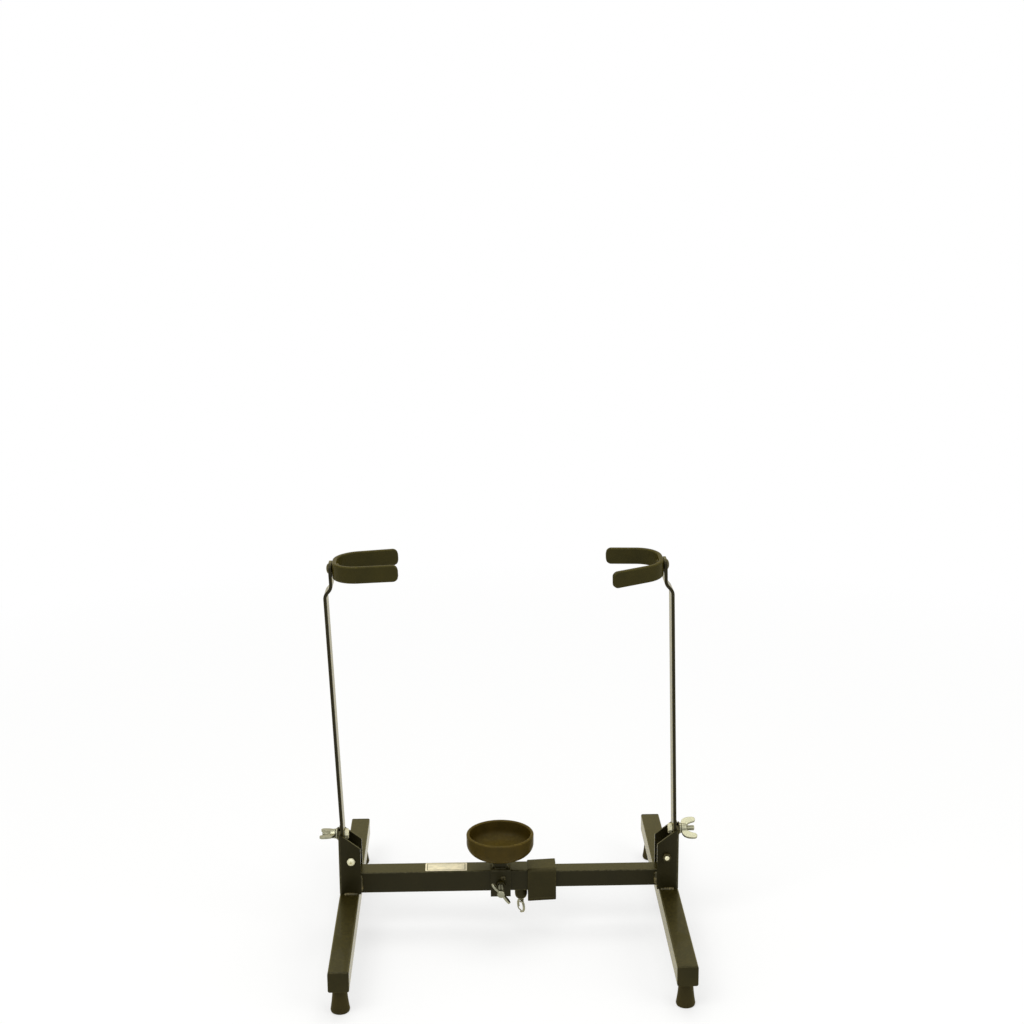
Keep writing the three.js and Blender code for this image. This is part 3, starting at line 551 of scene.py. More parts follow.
def make_finish(name, slot, colour, metallic, roughness, spread, patches, grain, bump,
                worn_and_highlight, wear_and_highlight, dust_and_sheen=0.0, specular=0.5, tint=PALE_TINT):
    """A finish from noise in the piece's own space: colour, wear with a painted edge highlight,
    dust with a painted sheen on upward faces, gloss and fine relief.
    """
    if name in bpy.data.materials:
        return bpy.data.materials[name], slot
    material = bpy.data.materials.new(name)
    material.use_nodes = True
    tree = material.node_tree
    surface = tree.nodes["Principled BSDF"]
    place = node(tree, "ShaderNodeTexCoord")
    own = place.outputs["Object"]
    broad = noise(tree, own, patches, 4, 0.6, 0.4)
    middle_noise = noise(tree, own, grain / 3, 3)
    fine = noise(tree, own, grain, 3, 0.65)
    tone = blended(tree, ranged(tree, broad, 0.3, 0.7, 0, 1),
                   shade(colour, 0.78), shade(colour, 1.25, 0.05))
    tone = blended(tree, ranged(tree, fine, 0.35, 0.75, 0, 0.45), tone, shade(colour, 1.7, 0.04))
    rough = ranged(tree, plus(tree, times(tree, broad, 0.5), times(tree, middle_noise, 0.5)),
                   0.3, 0.7, roughness - spread, roughness + spread)
    # Pale worn colour on the narrow faces of rounded edges: real wear, and on the paint and the
    # weld beads also a painted highlight.
    edge = node(tree, "ShaderNodeAttribute", attribute_name="edge")
    rubbed_and_highlight = times(tree, ranged(tree, edge.outputs["Fac"], 0.45, 1, 0, 1),
                   ranged(tree, noise(tree, own, WEAR_AND_HIGHLIGHT_SCALE, 4, 0.7), 0.4, 0.62, 0, wear_and_highlight))
    tone = blended(tree, rubbed_and_highlight, tone, worn_and_highlight)
    rough = plus(tree, rough, times(tree, rubbed_and_highlight, 0.3))
    # Upward faces get a lighter, warmer colour: settled dust and a painted sheen on the tops.
    if dust_and_sheen:
        facing = node(tree, "ShaderNodeSeparateXYZ")
        tree.links.new(place.outputs["Normal"], facing.inputs[0])
        upward_dust_and_sheen = times(tree, ranged(tree, facing.outputs["Z"], 0.2, 1, 0, 1),
                      ranged(tree, noise(tree, own, DUST_AND_SHEEN_SCALE, 5, 0.75), 0.45, 0.8, 0.12, 1))
        dust_and_sheen_share = times(tree, upward_dust_and_sheen, dust_and_sheen)
        tone = blended(tree, dust_and_sheen_share, tone, DUST_AND_SHEEN)
        rough = plus(tree, rough, times(tree, dust_and_sheen_share, 0.5))
    relief = node(tree, "ShaderNodeBump", in_Strength=bump, in_Distance=0.0002)
    height = plus(tree, times(tree, middle_noise, 0.6), times(tree, fine, 0.4))
    tree.links.new(height, relief.inputs["Height"])
    tree.links.new(relief.outputs["Normal"], surface.inputs["Normal"])
    tree.links.new(tone, surface.inputs["Base Color"])
    tree.links.new(rough, surface.inputs["Roughness"])
    surface.inputs["Metallic"].default_value = metallic
    surface.inputs["Specular IOR Level"].default_value = specular
    surface.inputs["Coat Weight"].default_value = 1
    surface.inputs["Coat IOR"].default_value = 1.05
    surface.inputs["Coat Tint"].default_value = (*tint, 1)
    return material, slot


def paint():
    """Semi-gloss paint of tubes, sheet and bar, rubbed pale along its edges, which is partly a
    painted highlight, with dust and a painted sheen on upward faces.
    """
    colour = bpy.context.scene.stand_colours.paint
    return make_finish("semi_gloss_paint", "painted_steel", colour, 0, 0.36, 0.07, 55, 1300, 0.22,
                       worn_and_highlight=(0.085, 0.08, 0.06), wear_and_highlight=0.55, dust_and_sheen=0.11, specular=0.20,
                       tint=DARK_TINT)


def weld_paint():
    """Paint over a rough weld bead, with painted highlights as pale patches on its crests."""
    colour = bpy.context.scene.stand_colours.paint
    return make_finish("weld_paint", "painted_steel", colour, 0, 0.3, 0.07, 55, 1300, 0.3,
                       worn_and_highlight=(0.2, 0.172, 0.13), wear_and_highlight=0.8, specular=0.35, tint=DARK_TINT)


def rubber(part):
    """Matt rubber; foot, cup and clip each have their own batch of it."""
    colour = getattr(bpy.context.scene.stand_colours, part)
    return make_finish(f"matt_{part}_rubber", "black_rubber", colour, 0, 0.62, 0.09, 70, 2600,
                       0.38, worn_and_highlight=[3 * value for value in colour], wear_and_highlight=0.5, dust_and_sheen=0.16,
                       specular=0.14, tint=DARK_TINT)


def plastic(dust_and_sheen=0.12):
    """Grained moulded plastic; the end plugs have neither dust nor painted sheen on them."""
    colour = bpy.context.scene.stand_colours.plastic
    name = "grained_plastic" if dust_and_sheen else "clean_plastic"
    return make_finish(name, "black_plastic", colour, 0, 0.44, 0.06, 60, 1900, 0.5,
                       worn_and_highlight=(0.06, 0.054, 0.03), wear_and_highlight=0.45, dust_and_sheen=dust_and_sheen, specular=0.15,
                       tint=DARK_TINT)


def zinc():
    """Aged zinc plating of the wing nuts and the small parts with them."""
    colour = bpy.context.scene.stand_colours.zinc
    return make_finish("aged_zinc", "zinc_plate", colour, 1, 0.36, 0.07, 190, 2200, 0.2,
                       worn_and_highlight=(0.55, 0.54, 0.42), wear_and_highlight=0.6)


def bright_zinc():
    """Duller but paler plating, as on the bolts."""
    colour = bpy.context.scene.stand_colours.bright_zinc
    return make_finish("bright_zinc", "zinc_plate", colour, 0.35, 0.5, 0.06, 190, 2200, 0.16,
                       worn_and_highlight=(0.74, 0.73, 0.6), wear_and_highlight=0.5)


def dark_steel():
    """Darkened steel of spacers, pivot nuts, rivets and the set screw."""
    colour = bpy.context.scene.stand_colours.dark_steel
    return make_finish("darkened_steel", "dark_steel", colour, 0.3, 0.45, 0.08, 220, 2200, 0.25,
                       worn_and_highlight=(0.14, 0.125, 0.09), wear_and_highlight=0.6, specular=0.3, tint=DARK_TINT)


def sticker_paper():
    """Plain paper with a little soiling."""
    colour = bpy.context.scene.stand_colours.sticker
    return make_finish("sticker_paper", None, colour, 0, 0.5, 0.06, 130, 2400, 0.12,
                       worn_and_highlight=(0.5, 0.46, 0.36), wear_and_highlight=0.5, dust_and_sheen=0.08)


# Operators

class StandOperator:
    bl_options = {"REGISTER", "UNDO"}


def smooth_rubber_foot():
    """Flared foot with a hollow under it, and the barbed stem that holds it in the leg."""
    top = LEG_LOW
    barb_low = top + TUBE_WALL + GAP
    barb_top = barb_low + 4 * MM
    neck, rim, rim_height = 6.2 * MM, 8.38 * MM, 2.2 * MM
    stem, barb, hollow = 3 * MM, 4.2 * MM, 0.8 * MM
    flare = [(neck + (rim - neck) * (1 - k / 10) ** 1.8,
              rim_height + (top - rim_height) * k / 10, 0) for k in range(1, 10)]
    corners = [
        (0, hollow), (4.2 * MM, hollow, 0.6 * MM), (4.8 * MM, 0, 0.4 * MM),
        (rim - 0.5 * MM, 0, 1.2 * MM), (rim, rim_height, 1.2 * MM), *flare,
        (neck, top, 0.4 * MM), (stem, top, 0),
        (stem, barb_low, 0), (barb, barb_low, 0.2 * MM), (stem, barb_top, 0.8 * MM),
        (0, barb_top),
    ]
    return turned(filleted(corners, closed=False))


class STAND_OT_legs(StandOperator, bpy.types.Operator):
    """Leg tubes with their end plugs"""
    bl_idname = "stand.legs"
    bl_label = "Legs and Plugs"

    def execute(self, context):
        sizes = context.scene.stand_sizes
        middle_z = (LEG_LOW + LEG_HIGH) / 2
        stem_hole, below = 3.3 * MM, LEG_LOW - TUBE_WALL
        for side, body, placing in sides():
            tube = square_tube("y", (LEG_X, middle_z), LEG_HALF, sizes.tube_corner,
                               -LEG_END, LEG_END)
            holes = [moved(turned([(0, below), (stem_hole, below),
                                   (stem_hole, middle_z), (0, middle_z)], 32),
                           shift(LEG_X, end * FOOT_Y)) for end in (-1, 1)]
            put(f"{side}_leg_tube", moved(cut(tube, *holes), placing), paint(), body,
                [f"{side}_leg"])
            stub = LEG_HALF - TUBE_WALL - GAP
            corner = sizes.tube_corner
            begin = LEG_TIP - 9.5 * MM
            seat = LEG_END + GAP
            stations = [
                (begin, stub - 0.7 * MM, stub - 0.7 * MM, corner / 2),
                (begin + 0.8 * MM, stub, stub, corner / 2), (seat, stub, stub, corner / 2),
                (seat, LEG_HALF - 0.3 * MM, LEG_HALF - 0.3 * MM, corner),
                (seat + 0.25 * MM, LEG_HALF, LEG_HALF, corner),
                (LEG_TIP - 0.95 * MM, LEG_HALF, LEG_HALF, corner),
                (LEG_TIP - 0.5 * MM, LEG_HALF - 0.18 * MM, LEG_HALF - 0.18 * MM, corner),
                (LEG_TIP - 0.2 * MM, LEG_HALF - 0.55 * MM, LEG_HALF - 0.55 * MM, corner),
                (LEG_TIP - 0.05 * MM, LEG_HALF - 1.4 * MM, LEG_HALF - 1.4 * MM, corner),
                (LEG_TIP, LEG_HALF - 3.5 * MM, LEG_HALF - 3.5 * MM, corner),
            ]
            for end, name in ((1, "back"), (-1, "front")):
                face = placing @ (Matrix.Identity(4) if end > 0 else
                                  shift(LEG_X) @ HALF_TURN @ shift(-LEG_X))
                place = name if side == "right" else {"back": "front", "front": "back"}[name]
                plug = stepped_block("y", (LEG_X, middle_z), stations)
                put(f"{side}_{place}_end_cap", moved(plug, face), plastic(dust_and_sheen=0), body,
                    [f"{side}_{place}_plug"])
        return {"FINISHED"}


class STAND_OT_feet(StandOperator, bpy.types.Operator):
    """Rubber feet under both ends of each leg"""
    bl_idname = "stand.feet"
    bl_label = "Rubber Feet"

    def execute(self, context):
        for side, body, _ in sides():
            for place in ("front", "back"):
                old = f"{side}_{place}_foot"
                where = shift(middle(old, 0), middle(old, 1))
                put(f"{side}_{place}_rubber_foot", moved(smooth_rubber_foot(), where),
                    rubber("foot"), body, [old])
        return {"FINISHED"}


def bracket_sheet(edge):
    """Sheet folded to a U, with sloping plates, a lock notch and pivot holes."""
    inner = PLATE_Y - SHEET
    inside = WEB_OUTER - SHEET
    outline = filleted([
        (PLATE_EDGE, -PLATE_Y), (WEB_OUTER, -PLATE_Y, OUTER_BEND),
        (WEB_OUTER, PLATE_Y, OUTER_BEND), (PLATE_EDGE, PLATE_Y), (PLATE_EDGE, inner),
        (inside, inner, INNER_BEND), (inside, -inner, INNER_BEND), (PLATE_EDGE, -inner),
    ], steps=8)
    blank = prism("z", outline, LEG_HIGH, WEB_TOP)
    plate_height = 44.5 * MM
    corner = LEG_HIGH + plate_height
    above = WEB_TOP + OVER
    slope = prism("y", [(PLATE_EDGE - OVER, corner), (PLATE_EDGE, corner), (inside, WEB_TOP),
                        (inside, above), (PLATE_EDGE - OVER, above)],
                  -PLATE_Y - OVER, PLATE_Y + OVER)
    lower = [(M5_HOLE * cos(pi + pi * k / 12), LOCK_Z + M5_HOLE * sin(pi + pi * k / 12))
             for k in range(13)]
    notch = prism("x", [(-M5_HOLE, above), *lower, (M5_HOLE, above)],
                  inside - OVER, WEB_OUTER + OVER)
    hole = rod("y", M4_HOLE, -PLATE_Y - OVER, PLATE_Y + OVER, (PIVOT_X, PIVOT_Z))
    return softened(cut(blank, slope, notch, hole), edge, angle=50)


class STAND_OT_brackets(StandOperator, bpy.types.Operator):
    """Folded brackets that join legs and crossbar and hold the arms"""
    bl_idname = "stand.brackets"
    bl_label = "Folded Brackets"

    def execute(self, context):
        edge = context.scene.stand_sizes.edge
        for side, body, placing in sides():
            put(f"{side}_folded_bracket", moved(bracket_sheet(edge), placing), paint(), body,
                [f"{side}_bracket"])
        return {"FINISHED"}


class STAND_OT_crossbar(StandOperator, bpy.types.Operator):
    """Outer and inner crossbar tubes with their lock holes, and the moulded sleeve"""
    bl_idname = "stand.crossbar"
    bl_label = "Crossbar and Sleeve"

    def execute(self, context):
        corner = context.scene.stand_sizes.bar_corner
        pin_hole, hole_pitch, hole_count = 2.5 * MM, 15 * MM, 4
        start, end = span("outer_crossbar", 0)
        outer = square_tube("x", (0, BAR_Z), BAR_HALF, corner, start, end)
        hole = rod("z", pin_hole, BAR_LOW - TUBE_WALL, BAR_Z, (BOSS_X, 0))
        put("outer_crossbar_tube", cut(outer, hole), paint(), "left_frame", ["outer_crossbar"])
        start, end = span("inner_crossbar", 0)
        inner = square_tube("x", (0, BAR_Z), INNER_HALF, corner, start, end)
        holes = [rod("z", pin_hole, BAR_LOW, BAR_Z, (BOSS_X - i * hole_pitch, 0))
                 for i in range(hole_count)]
        put("inner_crossbar_tube", cut(inner, *holes), paint(), "right_frame",
            ["inner_crossbar"])
        put("joint_sleeve_moulding", self.sleeve(corner), plastic(), "left_frame",
            ["joint_sleeve"])
        return {"FINISHED"}

    def sleeve(self, corner):
        """Moulded sleeve with a lip round its foot, lying a little askew on the tubes."""
        slant = tan(radians(2.6))
        step = (SLEEVE_START + SLEEVE_END) / 2
        low = LEG_HIGH - 9 * MM
        high = BAR_TOP + 1.8 * MM
        half = 13 * MM
        rib = 0.35 * MM
        lip = low + 2.6 * MM
        side_points = [
            (half, low, 2.2 * MM), (half, lip - 0.9 * MM, 0.1 * MM),
            (half + rib, lip - 0.6 * MM, 0.15 * MM), (half + rib, lip + 0.1 * MM, 0.15 * MM),
            (half, lip + 0.5 * MM, 0.1 * MM), (half, high, 4 * MM),
        ]
        mirrored = [(-y, z, r) for y, z, r in reversed(side_points)]
        outline = filleted(side_points + mirrored, steps=6)
        centre = Vector((0, (low + high) / 2))
        ease = 0.7 * MM
        stations = ((SLEEVE_START, 1), (SLEEVE_START + 0.3 * ease, 0.45),
                    (SLEEVE_START + ease, 0), (SLEEVE_END - ease, 0),
                    (SLEEVE_END - 0.3 * ease, 0.45), (SLEEVE_END, 1))
        rings = []
        for x, share in stations:
            drawn = []
            for y, z in outline:
                inward = centre - Vector((y, z))
                inward = Vector((inward.x / abs(inward.x or 1), inward.y / abs(inward.y or 1)))
                y_in = y + inward.x * ease * share * 0.6
                z_in = z + inward.y * ease * share * 0.6
                drawn.append((x, y_in, z_in + slant * (x - step)))
            rings.append(drawn)
        wide = prism("x", rounded_box(BAR_HALF + GAP, BAR_HALF + GAP, corner),
                     SLEEVE_START - OVER, step, (0, BAR_Z))
        narrow = prism("x", rounded_box(INNER_HALF + GAP, INNER_HALF + GAP, corner),
                       step - OVER, SLEEVE_END + OVER, (0, BAR_Z))
        return cut(loft(rings), wide, narrow)


class STAND_OT_crossbar_lock(StandOperator, bpy.types.Operator):
    """Domed boss under the crossbar, its lock pin and the split pull ring"""
    bl_idname = "stand.crossbar_lock"
    bl_label = "Crossbar Lock"

    def execute(self, context):
        wire = context.scene.stand_sizes.ring_wire
        height = LEG_HIGH - BOSS_LOW
        boss_radius, tip_radius, dome = 5.75 * MM, 3.6 * MM, 5 * MM
        bore, room = 2.5 * MM, 4.3 * MM
        floor = -height + 2.4 * MM
        curve = [(tip_radius + (boss_radius - tip_radius) * cos(k * pi / 24),
                  -height + dome * (1 - sin(k * pi / 24))) for k in range(12, -1, -1)]
        profile = [(bore, -height + 0.3 * MM), (bore + 0.3 * MM, -height), *curve,
                   (boss_radius, 0), (room, 0), (room, floor), (bore, floor)]
        at_boss = shift(BOSS_X, 0, LEG_HIGH)
        put("lock_boss_turned", moved(turned(profile, 64, closed=True), at_boss), plastic(),
            "left_frame", ["lock_boss"])

        ring_turn = turn("Z", radians(25))
        pin_radius, collar, collar_low, tip = 2.2 * MM, 4 * MM, -2.3 * MM, 1.7 * MM
        eye = -height - 2.6 * MM
        shaft_low = eye + 2.05 * MM
        shaft = turned(filleted([(0, shaft_low), (pin_radius, shaft_low, 0.2 * MM),
                                 (pin_radius, collar_low), (collar, collar_low, 0.3 * MM),
                                 (collar, -GAP, 0.3 * MM), (pin_radius, -GAP),
                                 (pin_radius, tip, 0.4 * MM), (0, tip)], closed=False), 48)
        eye_bore, eye_radius, eye_half = 1.75 * MM, 2.6 * MM, 1.2 * MM
        ring = [(eye_bore, -eye_half, 0.5 * MM), (eye_radius, -eye_half, 0.35 * MM),
                (eye_radius, eye_half, 0.35 * MM), (eye_bore, eye_half, 0.5 * MM)]
        loop = moved(turned(filleted(ring), 48, closed=True), turn("X", pi / 2),
                     shift(0, 0, eye))
        pin = moved(joined(shaft, loop), ring_turn, at_boss)
        put("lock_pin_turned", pin, zinc(), "lock_pin_body", ["lock_pin"])
        ring_radius = 5.9 * MM
        ring = moved(self.split_ring(ring_radius, wire), shift(0, 0, eye - ring_radius),
                     ring_turn, at_boss)
        put("pull_ring_wire", ring, zinc(), "pull_ring_body", ["pull_ring"])
        self.spring()
        return {"FINISHED"}

    def spring(self):
        """Return spring inside the boss, at one fixed length."""
        wire_radius = 0.35 * MM
        turns, steps_per_turn = 5, 24
        low, high = span("lock_spring", 2)
        left, right = span("lock_spring", 0)
        coil_radius = (right - left) / 2 - wire_radius
        steps = turns * steps_per_turn
        path = []
        for i in range(steps + 1):
            angle = turns * 2 * pi * i / steps
            rise = (high - low - 2 * wire_radius) * i / steps
            path.append((BOSS_X + coil_radius * cos(angle), coil_radius * sin(angle),
                         low + wire_radius + rise))
        wire = swept(path, UP, [circle(wire_radius, 12)] * len(path))
        coil = put("lock_spring_coil", wire, zinc(), "left_frame", ["lock_spring"])
        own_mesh(coil)

    def split_ring(self, radius, wire):
        """Two turns of wire that lie side by side, with a crossing where the ends stop."""
        crossing = radians(42)
        bottom = radians(150)
        steps = 168
        path = []
        outlines = []
        first = crossing * 0.62
        last = 4 * pi - crossing * 0.62
        length = (last - first) * radius
        for i in range(steps + 1):
            angle = first + (last - first) * i / steps
            share = max(0, min(1, (angle - 2 * pi) / crossing + 0.5))
            side = (share * share * (3 - 2 * share) - 0.5) * wire * 1.02
            path.append((side, radius * sin(angle + bottom), radius * cos(angle + bottom)))
            along = length * i / steps
            near = min(along, length - along)
            size = wire / 2 - pull_in(near, wire * 0.35)
            outlines.append(circle(max(size, 0.05 * MM), 14))
        return swept(path, ALONG_X, outlines)


def hex_piece(flats, height, bore=0.0):
    """A hexagon on Z from 0 up, chamfered on top, and bored where a bore is given."""
    reach = flats / sqrt(3)
    drop = (reach - flats / 2) * 0.62
    cone = [(0, 0), (reach + 0.05 * MM, 0), (reach + 0.02 * MM, height - drop),
            (flats / 2 * 0.97, height), (0, height)]
    body = common(prism("z", hexagon(flats), 0, height), turned(cone, 72))
    if bore:
        ease = 0.4 * MM
        tool = turned([(0, -MM), (bore + ease + MM, -MM), (bore, ease), (bore, height - ease),
                       (bore + ease + MM, height + MM), (0, height + MM)], 40)
        body = cut(body, tool)
    return softened(body, 0.12 * MM, angle=45)


def domed_head(radius, height, reach=0.0):
    """A domed head standing on height 0, with a cross recess where its reach is given."""
    rim = 0.2 * MM
    profile = [(0, 0), (radius - 0.15 * MM, 0), (radius, rim)]
    for k in range(1, 11):
        angle = k * pi / 20
        profile.append((radius * cos(angle), rim + (height - rim) * sin(angle)))
    profile[-1] = (0, height)
    head = turned(profile, 48)
    if not reach:
        return head
    half = 0.45 * MM
    low = height - 1.2 * MM
    high = height + MM
    arms = []
    for angle in (0, pi / 2):
        arm = loft([section("z", rounded_box(reach * share, half * thin, 0.1 * MM, 2), at)
                    for at, share, thin in ((low, 0.45, 0.6), (high, 1.15, 1.1))])
        arms.append(moved(arm, turn("Z", angle)))
    return cut(head, *arms)


def bow(start, control, end, steps=12):
    """Points of a curved line after its start, drawn to the end past a control point."""
    return [tuple((1 - t) ** 2 * s + 2 * t * (1 - t) * c + t * t * e
                  for s, c, e in zip(start, control, end))
            for t in (k / steps for k in range(1, steps + 1))]


def slab(outline, thickness):
    """An outline in X and Z made into a slab about Y = 0."""
    bm = bmesh.new()
    face = bm.faces.new([bm.verts.new((x, -thickness / 2, z)) for x, z in outline])
    grown = bmesh.ops.extrude_face_region(bm, geom=[face])
    far = [item for item in grown["geom"] if isinstance(item, bmesh.types.BMVert)]
    bmesh.ops.translate(bm, verts=far, vec=(0, thickness, 0))
    bmesh.ops.recalc_face_normals(bm, faces=bm.faces)
    return bm


def cast_soft(bm, grain=0.26 * MM, rounds=4):
    """Melts sharp edges and inner corners together as casting does."""
    host = loose_object(bm)
    cast = host.modifiers.new("Cast", "REMESH")
    cast.mode = "VOXEL"
    cast.voxel_size = grain
    soft = host.modifiers.new("Soft", "SMOOTH")
    soft.factor = 0.5
    soft.iterations = rounds
    return through_modifiers(host)


def wing_nut_casting(bore):
    """Hub and two flared wings, standing on height 0 and pointing up, bored for a stud."""
    hub_radius, hub_top, hub_height = 4.6 * MM, 3.8 * MM, 4.6 * MM
    half_span, height, lobe = 13 * MM, 14 * MM, 3 * MM
    lobe_z = height - lobe
    wing_thickness, wing_low = 2.2 * MM, 0.2 * MM
    outline = [(0, wing_low), (hub_radius - 0.2 * MM, wing_low)]
    outline += bow(outline[-1], (half_span, 0), (half_span, lobe_z))
    outline += [(half_span - lobe + lobe * cos(pi * k / 16), lobe_z + lobe * sin(pi * k / 16))
                for k in range(1, 17)]
    outline += bow(outline[-1], (hub_radius, hub_height), (0, hub_height))
    wings = [moved(slab(outline, wing_thickness), turn("Z", angle)) for angle in (0, pi)]
    hub = turned(filleted([(0, 0), (hub_radius + 0.1 * MM, 0, 0.3 * MM),
                           (hub_top + 0.1 * MM, hub_height + 0.4 * MM, 0.5 * MM),
                           (0, hub_height + 0.4 * MM)], closed=False), 48)
    face_cut = rod("z", 8 * MM, -2 * MM, 0.05 * MM, steps=32)
    hole = turned([(0, -MM), (bore + 1.4 * MM, -MM), (bore, 0.45 * MM),
                   (bore, height + MM), (0, height + MM)], 40)
    return cut(cast_soft(joined(hub, *wings)), face_cut, hole)


def wing_screw_casting():
    """Short domed hub between two straight blades, standing on height 0."""
    hub_radius, hub_height = 3.3 * MM, 6 * MM
    middle_z, half_width, root = hub_height / 2, 3.5 * MM, 2 * MM
    half_span, blade_thickness = 12.5 * MM, 1.9 * MM
    tip_x = half_span - half_width
    outline = [(0, middle_z - root), (hub_radius, middle_z - root)]
    outline += bow(outline[-1], (hub_radius + 2.5 * MM, middle_z - half_width),
                   (tip_x, middle_z - half_width), 8)
    outline += [(tip_x + half_width * cos(pi * k / 16), middle_z + half_width * sin(pi * k / 16))
                for k in range(-7, 9)]
    outline += bow(outline[-1], (hub_radius + 2.5 * MM, middle_z + half_width),
                   (hub_radius, middle_z + root), 8)
    outline.append((0, middle_z + root))
    blades = [moved(slab(outline, blade_thickness), turn("Z", angle)) for angle in (0, pi)]
    hub = turned(filleted([(0, 0), (hub_radius - 0.5 * MM, 0, 0.3 * MM),
                           (hub_radius + 0.1 * MM, 1.6 * MM, 0.8 * MM),
                           (hub_radius + 0.1 * MM, hub_height - 0.4 * MM, 0.9 * MM),
                           (0, hub_height + 0.1 * MM)], closed=False), 48)
    return cast_soft(joined(hub, *blades), 0.24 * MM, 3)


class STAND_OT_cup_clamp(StandOperator, bpy.types.Operator):
    """Saddle on the crossbar with its welded nut, wing screw and small set screw"""
    bl_idname = "stand.cup_clamp"
    bl_label = "Cup Clamp"

    def execute(self, context):
        sizes = context.scene.stand_sizes
        inner = SADDLE_Y - SHEET
        inside = SADDLE_TOP - SHEET
        x_low, x_high = span("cup_clamp", 0)
        outline = filleted([
            (-SADDLE_Y, SADDLE_LOW), (-SADDLE_Y, SADDLE_TOP, OUTER_BEND),
            (SADDLE_Y, SADDLE_TOP, OUTER_BEND), (SADDLE_Y, SADDLE_LOW),
            (inner, SADDLE_LOW), (inner, inside, INNER_BEND), (-inner, inside, INNER_BEND),
            (-inner, SADDLE_LOW),
        ], steps=8)
        front = -SADDLE_Y - OVER
        set_x = CUP_X + 2.3 * MM
        set_z = WING_SCREW_Z + 6.6 * MM
        saddle = cut(prism("x", outline, x_low, x_high),
                     rod("y", M5_HOLE, front, 0, (CUP_X, WING_SCREW_Z)),
                     rod("y", 1.8 * MM, front, 0, (set_x, set_z)))
        put("cup_clamp_saddle", softened(saddle, sizes.edge, angle=50), paint(),
            "cup_carriage", ["cup_clamp"])

        facing = turn("X", pi / 2)
        nut = moved(hex_piece(8 * MM, 4 * MM, M5_NUT_BORE), facing,
                    shift(CUP_X, -SADDLE_Y, WING_SCREW_Z))
        put("clamp_hex_nut", nut, paint(), "cup_carriage", ["clamp_nut"])

        head = domed_head(2.3 * MM, 1.6 * MM, 1.2 * MM)
        shank = threaded(1.5 * MM, 2.6 * MM, 0.5 * MM, lead=0.2 * MM)
        screw = joined(head, moved(shank, turn("X", pi), shift(0, 0, 0.6 * MM)))
        put("clamp_set_screw_turned", moved(screw, facing, shift(set_x, -SADDLE_Y, set_z)),
            dark_steel(), "cup_carriage", ["clamp_set_screw"])

        shank = threaded(M5_RADIUS, 19.3 * MM, sizes.thread_pitch)
        shank = moved(shank, turn("X", pi), shift(0, 0, 2.3 * MM))
        screw = joined(wing_screw_casting(), shank)
        wing_turn, standing_off = radians(-50), 15 * MM
        screw = moved(screw, turn("Z", wing_turn), facing,
                      shift(CUP_X, -SADDLE_Y - standing_off, WING_SCREW_Z))
        put("cup_wing_screw_casting", screw, zinc(), "cup_wing_screw_body", ["cup_wing_screw"])
        return {"FINISHED"}


class STAND_OT_cup(StandOperator, bpy.types.Operator):
    """Rubber cup on its welded post, with the screw that holds it"""
    bl_idname = "stand.cup"
    bl_label = "Cup and Post"

    def execute(self, context):
        seat = CUP_LOW + 4 * MM
        side_z = CUP_TOP - 8.3 * MM
        wall = 3 * MM
        rim = wall / 2

        def bowl(flat_radius, side_radius, flat_z, steps=22):
            curve = []
            for i in range(steps, -1, -1):
                angle = i * pi / 2 / steps
                out = max(cos(angle), 0) ** 0.85
                down = sin(angle) ** 0.85
                curve.append((flat_radius + (side_radius - flat_radius) * out,
                              flat_z + (side_z - flat_z) * (1 - down)))
            return curve

        recess, ledge = 4.3 * MM, seat - 2.3 * MM
        outside = bowl(10 * MM, CUP_RADIUS, CUP_LOW)
        lip = [(CUP_RADIUS - rim + rim * cos(k * pi / 14), CUP_TOP - rim + rim * sin(k * pi / 14))
               for k in range(15)]
        inside = list(reversed(bowl(12 * MM, CUP_RADIUS - wall, seat)))
        grooves = []
        half_mouth, half_floor, groove_low = 0.45 * MM, 0.2 * MM, seat - 0.35 * MM
        for radius in (10.6 * MM, 8.6 * MM, 6.6 * MM):
            grooves += [(radius + half_mouth, seat), (radius + half_floor, groove_low),
                        (radius - half_floor, groove_low), (radius - half_mouth, seat)]
        profile = [(M4_HOLE, CUP_LOW), *outside, *lip, *inside, *grooves,
                   (recess + 0.2 * MM, seat), (recess, seat - 0.2 * MM), (recess, ledge),
                   (M4_HOLE, ledge)]
        put("cup_bowl_rubber", moved(turned(profile, 128, closed=True), shift(CUP_X)),
            rubber("cup"), "cup_carriage", ["cup"])

        low, high = span("cup_post", 2)
        half_x, half_y = 6 * MM, 9.5 * MM
        ease = 0.8 * MM
        stations = [
            (low, half_x - 0.2 * MM, half_y - 0.2 * MM, ease),
            (low + 0.3 * MM, half_x, half_y, ease),
            (high - 0.5 * MM, half_x, half_y, ease),
            (high - 0.12 * MM, half_x - 0.2 * MM, half_y - 0.2 * MM, ease),
            (high, half_x - 0.5 * MM, half_y - 0.5 * MM, ease),
        ]
        post = cut(stepped_block("z", (CUP_X, 0), stations),
                   rod("z", M4_HOLE, low - MM, high + MM, (CUP_X, 0)))
        put("cup_post_block", post, paint(), "cup_carriage", ["cup_post"])

        head = domed_head(4 * MM, 2 * MM, 2 * MM)
        shank = threaded(M4_RADIUS, 9.6 * MM, M4_PITCH)
        screw = joined(head, moved(shank, turn("X", pi), shift(0, 0, 0.6 * MM)))
        put("cup_screw_turned", moved(screw, shift(CUP_X, 0, ledge)), zinc(),
            "cup_carriage", ["cup_screw"])
        return {"FINISHED"}


